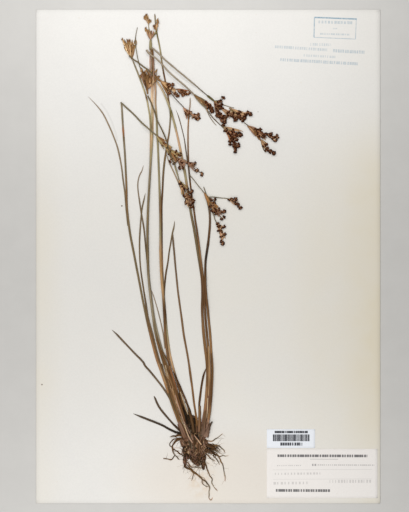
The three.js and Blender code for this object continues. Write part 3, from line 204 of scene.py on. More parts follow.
# Fans of thin dry bracts: foot, first tip, last tip, how many, width, colours
FANS = {
    "panicle_right_lower": (
        ("12,110.6 27.6,106.4 17.4,101.6", 15, 1, "bract grey_olive warm_brown pale_tan"),
        ("15,107 27,103 18.6,98", 14, 1.1, "mauve reddish brown crown"),
        ("19.4,103.6 28.6,102.6 22.6,94.4", 8, 0.9, "mauve crown bract"),
        ("20.6,98 26,95.6 22,88.8", 7, 0.8, "warm_brown crown bract"),
        ("-12.4,136.8 -2,132.6 -2.6,126.4", 10, 1, "warm_brown olive_brown grey_olive"),
        ("-5,131 4.4,127.4 3.4,122.6", 9, 0.9, "reddish brown mauve"),
    ),
    "panicle_right_upper": (
        ("17.6,126 29.4,122.6 24.6,118", 12, 0.9, "olive_tan bract olive_brown"),
        ("5,131.8 11.6,132 8.8,127.6", 8, 0.9, "olive olive_tan brown"),
        ("4.8,131.4 12.2,127 6.8,120.4", 14, 1, "mauve reddish crown brown"),
        ("9.6,127 22.6,120.6 17.6,117", 11, 0.9, "mauve bract crown"),
        ("9,121.4 16.6,117 11.6,112", 9, 0.9, "mauve crown reddish"),
        ("18,122 26,120 22,116", 9, 0.9, "bract mauve crown"),
        ("26,121.6 34.6,121.6 29.6,114.6", 10, 1, "bract olive_brown mauve olive_tan"),
    ),
    "panicle_far_right": (
        ("33,110.9 43.4,107 39.8,101.8", 14, 0.9, "bract warm_brown mauve"),
        ("38,107.6 47,104 43,98.6", 10, 0.9, "reddish brown mauve"),
        ("41,105.6 52,102.8 48,98", 9, 0.8, "mauve crown bract"),
        ("44.6,99.4 51,94.6 47.4,90", 8, 0.8, "mauve olive_brown bract"),
        ("52,102 59.6,101.4 56.4,97.6", 7, 0.8, "bract pink_tan pale_tan"),
    ),
    "panicle_centre": (
        ("-44,102.4 -35,97.4 -38,91.4", 12, 1.1, "bract warm_brown olive_tan"),
        ("-39.4,97.4 -29,91.8 -33,85.4", 14, 1.1, "bract warm_brown olive_tan tan"),
        ("-33.5,90.4 -22.8,86.4 -27.4,79", 15, 1, "bract warm_brown mauve olive_tan"),
        ("-27,84 -16.6,81 -21.6,74.4", 11, 0.9, "bract mauve pink_tan"),
        ("-19,80 -9.6,79 -12,73", 7, 0.8, "mauve warm_brown"),
    ),
    "panicle_middle": (
        ("-40.6,148.6 -31,145.8 -34.4,137", 16, 1, "tan bract brown warm_brown"),
        ("-34.4,144 -29,142.6 -26.6,137.4", 9, 1, "straw bract pale_tan"),
        ("-27,142.4 -17,140.4 -20,135.6", 11, 1, "bract mauve reddish"),
    ),
    "panicle_small": (
        ("-21.4,126.6 -14,122.4 -18.2,116.6", 12, 0.9, "pink_tan mauve reddish"),
        ("-15,120.6 -7.4,120.4 -9.4,116", 7, 0.8, "mauve pink_tan"),
    ),
    "panicle_low": (
        ("-24.8,65 -15.6,57 -22,50", 12, 0.9, "bract olive_tan warm_brown mauve"),
        ("-19.4,54 -12,48.4 -16.6,41", 12, 0.9, "bract mauve warm_brown"),
    ),
    "panicle_right": (
        ("-3.6,54.6 3.6,46.6 1,39.6", 13, 1.1, "olive_brown warm_brown grey_olive"),
        ("2.4,46.6 9.6,41 5,34.4", 11, 1, "warm_brown mauve bract"),
        ("5,39.6 13.8,38.6 10,32.4", 8, 0.8, "mauve crown"),
        ("16.6,48.9 26,46.6 22.8,42.4", 6, 0.8, "bract mauve"),
        ("7.4,28.6 13.6,24.6 11,15.6", 9, 0.9, "bract pale_tan mauve"),
        ("10.4,22.6 15.2,16.4 11.4,11", 9, 0.9, "bract pink_tan pale_tan"),
    ),
    "panicle_brown": (
        ("-51.4,141 -58,157.6 -43.4,150.4", 22, 1.1, "warm_brown bract brown mauve"),
        ("-54.4,147 -56,156.8 -52.6,157", 11, 1.2, "reddish dark_brown dark_brown brown"),
        ("-52.4,141.6 -55.8,151 -53.2,150.6", 6, 1, "dark_brown umber brown"),
        ("-50.4,149 -51.2,156.8 -49.4,156.2", 4, 0.8, "brown dark_brown"),
        ("-44.6,147 -46,156 -43.6,152.4", 6, 0.9, "brown dark_brown warm_brown"),
        ("-51.8,146.4 -53.2,150.8 -50.6,150.6", 5, 1.1, "straw pale_tan bract"),
        ("-47,145 -47,154.4 -45,153.4", 5, 0.9, "tan pale_tan bract"),
    ),
    "panicle_left": (
        ("-65,167 -72.8,184.2 -61.6,180.4", 18, 0.8, "bract tan warm_brown pale_tan"),
        ("-66,172.2 -71,182.8 -62.4,180", 10, 0.8, "dark_brown brown reddish umber"),
    ),
    "panicle_top": (
        ("-48.9,183.4 -53,192.6 -45.6,190.4", 11, 1, "mauve pink_tan tan bract"),
        ("-50.2,196 -54.4,203.6 -51,204.4", 4, 0.7, "tan pale_tan"),
        ("-48.2,184.4 -44.6,190.6 -43.6,189", 3, 0.8, "olive olive_tan"),
    ),
    "panicle_tall": (
        ("-43.4,192.4 -45.4,195.8 -42.4,199.6", 5, 0.9, "bract mauve"),
    ),
}
# Loose dry strands that lie along the culms: route, width, colour
STRANDS = (
    ("-49.2,150 -49.2,158 -49.3,166 -49.3,174", 1.1, "pink_tan"),
    ("-46,147 -45.9,155 -46,163 -46.4,171 -47,177", 1.1, "pink_tan"),
    ("-47.6,146 -47.5,156 -47.5,166 -47.4,176.4", 0.6, "brown"),
    ("-46.7,158 -46.8,166 -47,174", 0.6, "brown"),
    ("-52.4,175.2 -51.2,173 -49.6,171.2", 1.3, "brown"),
    ("-49.6,176 -48.2,173.6 -46.4,171.4", 0.9, "brown"),
    ("-53.6,149 -54.4,152.4 -55.4,156", 1.6, "brown"),
    ("-52.2,147.4 -52.8,151 -53.4,155", 1.5, "warm_brown"),
    ("-50.6,146.6 -50.9,150 -51.5,154", 1.4, "brown"),
    ("-49.2,146 -49.3,149 -49.7,152.4", 1.3, "warm_brown"),
    ("-47.6,145.6 -47.5,148.6 -47.7,151", 1.1, "dark_brown"),
    ("-41.8,-90 -38.4,-100.4 -34.8,-109.6", 1.2, "tan"),
    ("-39.4,-91 -36.9,-100.4 -33.4,-112", 0.9, "dark_brown"),
    ("-36.4,-92 -34.4,-99.6 -32,-108.6", 0.9, "pale_tan"),
    ("-31.6,-96 -30.2,-101 -28.2,-107 -26.4,-113", 1.3, "reddish"),
    ("-33.8,-116 -31.6,-121.6 -29.2,-127.6 -26.7,-134 -25.2,-138", 1.2, "olive_brown"),
    ("-32,-117 -29.9,-122.4 -27.3,-128.6 -24.8,-134.4 -22.8,-139", 1.1, "pale_tan"),
    ("-32.6,-111 -30.8,-118 -28.8,-124 -26.6,-130 -24,-136 -21.2,-142", 1, "pale_tan"),
    ("-29.6,-112 -27.9,-119 -26.6,-125 -25.2,-131 -22.7,-136 -20.2,-142", 0.7, "brown"),
    ("-27.8,-117 -25.9,-124 -23.8,-130 -21.7,-136.4 -19.4,-142", 1.3, "pink_tan"),
    ("-24.8,-115.6 -23.3,-122.6 -21.9,-128", 2, "dark_brown"),
    ("-21.8,-126.6 -20.8,-130.4 -19.3,-136 -17.4,-142", 1.9, "near_black"),
    ("-16.8,-134 -14.8,-138.4 -12.7,-142.4 -11,-146.4", 1.8, "near_black"),
    ("-19,-133.6 -17.8,-137 -16.4,-140.6 -15,-144", 1.9, "umber"),
    ("-19.2,-122.8 -17.2,-126.6 -15.6,-130.4 -14.4,-134.6 -12.8,-138", 1.7, "umber"),
    ("-22.6,-124 -20,-130 -16.6,-137 -13.4,-143", 1.2, "umber"),
    ("-23.6,-114.6 -21.2,-121.8 -18.7,-129.6 -16.8,-134.6", 0.8, "pale_tan"),
    ("-21.8,-116 -19,-123.4 -16.6,-130 -13.6,-137", 0.8, "dark_brown"),
    ("3,-82 3.2,-96 2.9,-110 2.1,-126", 0.8, "dark_brown"),
    ("0.6,-76 0.9,-90 0.8,-106 0.2,-118", 0.9, "tan"),
    ("-1.5,-82 -1.2,-96 -1,-110", 0.7, "brown"),
    ("-0.4,-120 -0.6,-129 -1.2,-137", 0.8, "pale_tan"),
)

# Culms, leaves and husks: widths at the foot and the tip, colours, and the route from foot to tip. A culm's
# colours go by height on the sheet, the others' by the share of their length
STRIPS = {
    "leaf_long_left": (1.4, 1, "0:grey_olive 1:bleached",
        "-67.8,26 -69.3,38 -70.5,52 -71.9,65 -73.4,76 -75,84.5 -77.2,93.5 -80.3,102 -84.1,111 -88.6,120 "
        "-95.2,128.5 -101.9,135.7"),
    "leaf_crossing_left": (1.5, 1.2, "0:olive_brown 1:bleached",
        "-50.9,-14 -51.9,-3 -52.8,7 -53.7,17 -55.1,28 -56.9,38.5 -58.4,48.5 -59.4,56 -59.3,62.5 -58,68.5 "
        "-56,72.8 -54.9,77.4"),
    "leaf_inner_fork": (1.6, 1.2, "0:dark_brown 1:grey_olive",
        "-37.5,-42 -37.3,-30 -36.2,-19 -35,-8.5 -33.5,0.5 -32,9 -30.4,19 -29,25 -28.4,30.3"),
    "leaf_thin_inner": (1.1, 0.7, "0:bleached 1:bleached",
        "-36.6,-78 -38.2,-66 -40.2,-56 -42.6,-46 -44.6,-38.7 -46.8,-32 -49.4,-26"),
    "leaf_stub_lower": (2.1, 1.5, "0:near_black 1:grey_brown",
        "-19.5,-152.8 -23.4,-150.3 -28,-148.9 -33,-146.6 -38.5,-143.4 -44.5,-140.8 -51.2,-138.3 "
        "-58,-135.6 -63.6,-133.3"),
    "leaf_stub_upper": (1.9, 1.5, "0:umber 1:grey_brown",
        "-20.5,-151 -25.3,-146.2 -30.5,-141 -35.5,-135.6 -40.2,-129.4 -43.8,-123.4 -46.1,-118.2"),
    "leaf_lone_left": (1.8, 1.5, "0:grey_brown 1:grey_brown",
        "-20.8,-150.5 -24.6,-138.5 -28.6,-128 -32.6,-119.8 -38.5,-111 -43.7,-104.3 -49.5,-97.4 "
        "-53.8,-92.6 -54.8,-90.3 -56.6,-88 -63,-81.5 -71.5,-72.3 -76.6,-67 -81.7,-62.2"),
    "stem_left": (2, 1.3,
        "-150:purple_brown -142:pink_tan -128:tan -118:warm_brown -104:tan -92:olive_brown "
        "-66:grey_olive -26:grey_olive -6:olive_brown 20:olive_brown 54:grey_olive 80:grey_olive 94:tan "
        "114:olive_tan 130:olive_tan 135:dark_brown 140:olive_tan 160:grey_olive",
        "-17.6,-151.5 -19.8,-147 -23.8,-137 -27.3,-127 -30.6,-116 -34,-104 -37.9,-91 -42,-76 -45.6,-59 "
        "-48.2,-41 -50.4,-21 -51.4,0 -51.6,20 -51.2,40 -50.2,60 -49.2,78 -48.9,95 -49,108 -49.6,119 "
        "-51,128 -52.7,136 -55.9,145.5 -59.4,155 -62.2,162 -64.2,166.6"),
    "stem_folded_lower": (1.9, 1.3,
        "-150:brown -140:brown -122:tan -103:warm_brown -84:olive_brown -64:grey_olive -25:grey_olive "
        "-5:olive_brown 35:olive_brown 75:grey_olive 95:olive_tan 115:tan 130:pale_tan 146:bract "
        "169:grey_brown",
        "-15.4,-150 -18.4,-143.5 -22.7,-133 -26.5,-122.5 -29.8,-111 -33.2,-98.5 -37.4,-85 -41.8,-70 "
        "-45,-56 -47.6,-39 -49.9,-20 -51,0 -51.2,20 -50.7,42 -49.6,62 -48.5,80 -47.4,96 -46.9,112 "
        "-46.9,137 -46.6,155 -47.2,169.3"),
    "stem_tall": (2.2, 1.2,
        "-150:umber -135:umber -122:brown -108:dark_brown -84:tan -64:olive_tan -50:dark_brown "
        "-24:olive_brown -4:warm_brown 16:dark_brown 54:dark_brown 80:olive_brown 96:brown "
        "115:grey_olive 121:olive 130:dark_brown 140:brown 155:dark_brown 175:olive_tan 188:olive "
        "205:grey_olive",
        "-11.4,-150.5 -13.2,-145 -16.6,-136 -20.2,-126.5 -23.3,-116 -26.3,-106 -29.6,-95 -32.2,-84 "
        "-34,-72 -35.4,-60 -36.6,-45 -37.6,-30 -38.9,-12 -39.3,5 -39.4,25 -39.3,42 -38.7,54 -38.2,68 "
        "-37,81 -35.6,90 -34.2,98.5 -33,106 -32.3,114 -32,121.5 -32.8,127 -33.8,134 -35,142 -36.4,149 "
        "-38,157 -39.1,163 -40.2,172 -41.9,181 -43.8,190 -44.6,196 -45.3,205.8"),
    "stem_tan": (2.8, 1.7,
        "-148:purple_brown -140:crown -124:warm_brown -104:brown -80:brown -60:brown -40:dark_brown "
        "-18:dark_brown 0:olive_brown 36:olive_brown 48:olive_tan 59:warm_brown 66:olive_tan "
        "79:olive_brown 90:tan 104:bract 110:olive_tan 118:olive_tan 122:olive 128:olive_tan 149:pale_tan",
        "-5.6,-149.5 -4.4,-142 -3,-133 -1.9,-124 -1,-112 -0.6,-100 -1.2,-88 -2.5,-77 -3.7,-66 -4.5,-55 "
        "-4.9,-44 -4.6,-32 -5.1,-20 -6.7,-9 -8.8,4 -10.7,16 -12.4,26 -14.4,36 -16.5,47 -17.9,59 "
        "-19.4,69.5 -21.4,80 -23.6,91 -26,102 -29,114 -32,124 -35.4,133.5 -39.3,142 -43.6,148.8"),
    "stem_slender": (2.4, 1.1,
        "-150:crown -140:crown -121:crown -100:warm_brown -81:brown -61:dark_brown -21:dark_brown "
        "-1:brown 19:dark_brown 78:dark_brown 98:brown 118:warm_brown 134:bleached",
        "-4,-150.5 -2.8,-142 -1.4,-134 -0.2,-125 0.7,-114 1.1,-102 0.9,-90 0.1,-78 -1,-66 -2.1,-54 "
        "-2.8,-43 -3.3,-32 -4.2,-21 -5.3,-11 -6.7,1 -8,12 -9.4,22 -10.9,31 -12.4,42 -14,53 -15.4,64.5 "
        "-16.4,74 -16.9,86 -17.1,100 -16.9,112 -16.2,122 -15.4,129 -15.3,134.6"),
    "stem_right": (2.3, 2,
        "-150:purple_brown -135:brown -120:dark_brown -100:brown -60:brown -40:dark_brown -20:dark_brown "
        "0:near_black 10:umber 20:dark_brown 46:grey_brown",
        "-2,-149.5 -0.4,-142 1,-134 2,-125 2.8,-114 3.2,-103 3.2,-92 2.8,-80 2,-69 0.9,-57 -0.4,-45 "
        "-1.6,-35 -2.3,-25 -2.5,-14 -2.2,-4 -1.3,3 -0.1,11 0.8,19 1.4,27 1.4,34 0.8,40.5 -0.4,46.5"),
    "stem_far_left": (2.1, 1.6,
        "-150:reddish -140:brown -118:brown -105:warm_brown -84:warm_brown -66:brown -47:olive_brown "
        "30:olive_brown 52:brown 72:olive_brown 92:grey_olive 100:olive_brown 106:reddish 112:grey_olive",
        "-20,-151.6 -21.2,-149 -25.2,-139 -28.6,-130 -32.2,-120 -35.9,-109 -39.4,-99 -43.9,-86 -49.2,-65 "
        "-53.8,-45 -58.6,-21 -62.5,0 -66.5,21 -68.8,40 -69.2,58 -70.2,80 -71.4,98 -72.3,112 -73.1,125 "
        "-73.6,130.3"),
    "leaf_crossing_right": (1.7, 1.2, "0:brown 1:grey_olive",
        "-19,-149.6 -22.5,-142 -25.9,-133 -30.2,-121 -34.3,-108.5 -37.5,-99.5 -42.2,-86 -47.3,-66 "
        "-50.9,-51 -53,-38.5 -54.9,-27 -56.4,-17 -57.6,-6 -58.2,5 -58.2,15 -57.7,25 -56.9,34 -56,41 "
        "-54.6,47.5 -53.2,53.8"),
    "stem_middle": (2.1, 1.4,
        "-150:umber -140:brown -123:tan -104:brown -85:dark_brown -66:olive_brown -46:grey_olive "
        "-26:grey_olive -7:olive_brown 33:olive_brown 73:grey_olive 88:olive_tan 100:tan 104:olive_tan "
        "109:olive_brown 118:olive_tan 134:pale_tan 144:bract 170:grey_brown 176:olive_tan 183:olive_tan",
        "-14.8,-151 -16.8,-147 -21,-137 -24.9,-127 -28.4,-116 -32.4,-103 -36.8,-91 -41.2,-79 -44.5,-65 "
        "-46.7,-50 -48.7,-36 -50.3,-20 -51.1,-8 -51.4,14 -51.1,40 -50.1,58 -49.1,76 -48.3,90 -47.9,105 "
        "-47.7,120 -47.9,137 -47.6,156 -48.1,172 -48.6,183.4"),
    "stem_folded_upper": (2.3, 1.6,
        "-150:umber -120:umber -105:warm_brown -85:brown -65:brown -45:dark_brown -25:golden 3:golden "
        "10:tan 18:olive_tan 40:brown 55:olive_tan 75:olive_tan 95:olive_tan 115:olive_tan 135:bract "
        "154:bract 166:mauve 176:brown",
        "-13,-151.6 -15.1,-147 -18.9,-138.5 -22.2,-130 -25.3,-119 -28.4,-107.5 -31.4,-97.5 -33.4,-88.5 "
        "-35,-79 -36,-69.5 -36.7,-58 -37.3,-45 -38,-34 -39,-25 -39.9,-14 -40.3,0 -40.5,22 -40.9,43 "
        "-41.3,60 -41.9,78 -42.6,94 -43.3,106 -43.6,118 -44.6,130 -44.6,140 -45.2,149 -46.3,158 -47,167 "
        "-47.6,175.8"),
    "leaf_right_of_middle": (1.8, 1.5, "0:brown 1:grey_brown",
        "-9,-144 -10.5,-134.5 -12.3,-123 -14.2,-107.5 -15.9,-93.5 -18.2,-80 -21.2,-62.5 -23.5,-45.5 "
        "-25.6,-28.5 -27.4,-11.5 -28.9,4.5 -29.7,13 -30.1,20.5"),
    "leaf_by_slender_stem": (1.1, 0.7, "0:grey_brown 1:grey_brown",
        "-15.7,66 -17.4,79 -18.8,90 -20.1,98 -21.7,105.5 -23.6,113.5 -25.6,120 -27.5,124.7"),
    "leaf_dark_inner": (1.8, 1.2, "0:dark_brown 1:brown",
        "-19.4,-139.5 -23,-128 -26,-118.5 -29,-110 -31.8,-103 -34.3,-97 -36.9,-90.2 -39,-84.5 "
        "-40.5,-78.6 -42.5,-73 -44.4,-67.2"),
    "leaf_short_inner": (1, 0.8, "0:dark_brown 1:brown",
        "-32.6,-92.5 -35,-87 -37.5,-82.6 -40.2,-78.6"),
    "leaf_short_dark": (1.2, 0.8, "0:dark_brown 1:brown",
        "-30.6,-111.5 -32.5,-107 -34,-104.2 -35.8,-101.6"),
    "leaf_dark_outer": (1.7, 1, "0:dark_brown 1:umber",
        "-12.8,-142 -14,-136.5 -16.3,-129 -18.9,-122.3 -21.5,-115.8 -24.1,-109.2 -27.3,-102.4 -29.9,-97"),
    "leaf_dark_right": (1.8, 1.6, "0:brown 1:dark_brown",
        "-6.2,-147 -7,-136.5 -7.4,-127 -6.6,-118.5 -5.7,-111.5 -4.5,-105 -3.2,-98.8 -1.5,-94.2"),
    "leaf_pale_centre": (1.2, 1.1, "0:grey_olive 1:bleached",
        "-17.4,44.5 -20.3,51.5 -22.8,57 -25.4,63 -29.3,71.5 -32.5,78.5 -35.4,86.4"),
    "sheath_left": (4, 2.2, "0:crown 1:mauve",
        "-19.4,-153 -20.9,-149.5 -22.8,-144.5 -24.4,-139.5"),
    "sheath_right_tall": (3.2, 2, "0:mauve 1:warm_brown",
        "-4.4,-151 -3.8,-145 -3,-138 -2.3,-131"),
    "sheath_dark": (3, 1.2, "0:umber 1:dark_brown",
        "-12.4,-149 -13.4,-142.5 -15.2,-134.5 -17.2,-127.5 -18.8,-123"),
    "sheath_brown": (2.6, 2.2, "0:crown 1:brown",
        "-8,-150 -7.4,-141.5 -7.2,-133.5 -7.3,-126.5"),
    "sheath_right": (4.2, 1.3, "0:mauve 1:umber",
        "-2.2,-152.5 -0.4,-147.4 1.3,-143.2 3.4,-139.5"),
    "sheath_straw_left": (1.2, 0.8, "0:pink_tan 1:pale_tan",
        "-13.2,-157.5 -15.8,-153 -18.2,-147.5 -20.2,-141.5"),
    "sheath_straw_right": (1.1, 0.8, "0:straw 1:pink_tan",
        "-5.8,-159.3 -8.8,-155.2 -11.9,-151.2"),
}
# Thick roots: widths at the foot and the tip, and route
ROOTS = (
    (2.6, 1.1, "-20,-151.5 -26,-151.6 -32.6,-153.2"),
    (1.7, 0.9, "-20,-153.5 -26,-155 -28.6,-158 -30.2,-161.5 -29.6,-166 -27,-169 -24.4,-172.8"),
    (1, 0.8, "-22,-154 -29.4,-155.2 -32.2,-157.8 -32.8,-160 -30,-162.2"),
    (0.9, 1.1, "-29.6,-163.2 -26,-165.6 -22.4,-168.2 -18,-169.5"),
    (0.8, 0.9, "-38,-171.4 -34,-171.7 -31.4,-172.3 -29.2,-170.6 -28,-168"),
    (1.8, 0.8, "-19,-175 -20,-178 -17,-179.8 -13,-182.4 -8,-186.3 -3.5,-190 0.2,-193.2 1.2,-196.5 "
        "0.5,-201 1,-205.6 2.4,-207.1 3.8,-204.2"),
    (0.7, 0.8, "-5.2,-188.6 -4.6,-192 -3,-194.4 0.8,-195.6"),
    (1, 0.8, "-17.5,-174.5 -14,-178.6 -9.5,-179.2 -4.2,-180"),
    (1.4, 0.7, "-3.5,-172 -1.4,-179.5 0.6,-184 3,-188.2 3.4,-191.8 4.8,-195.6 8.4,-199.2"),
    (0.8, 0.6, "-12,-182 -12.9,-186.5 -14.4,-190.6"),
    (1.2, 0.6, "-4,-155 2,-156.8 6,-155.4 9.5,-152.8 12.4,-150"),
    (1.5, 0.9, "1,-160.5 6,-160.6 10,-161.6 13,-164.2 14.4,-167"),
    (0.9, 0.6, "5,-168 9.5,-169 17.6,-169"),
    (1.3, 0.8, "3,-166 8,-169.2 11,-173.6 12.9,-179.5 14.6,-186 14.4,-191"),
    (1.1, 0.8, "4,-168.5 7.2,-172 9.8,-177"),
    (1.1, 0.7, "-2,-167.2 0.6,-169.6 3,-171.8 6.4,-173.8"),
    (1.2, 0.7, "-2,-158.6 2.8,-159.8 7.2,-160 11,-162"),
    (1.3, 0.8, "-1,-161.2 3.8,-163.4 7.8,-165.4 11,-167.4"),
    (1.1, 0.7, "-1,-163.4 3.6,-166 7.4,-167.6 9.6,-170.4"),
    (0.8, 0.5, "-18,-176.6 -14.6,-180.4 -10.4,-183.6 -5.4,-187.4 -1.6,-190.4"),
)
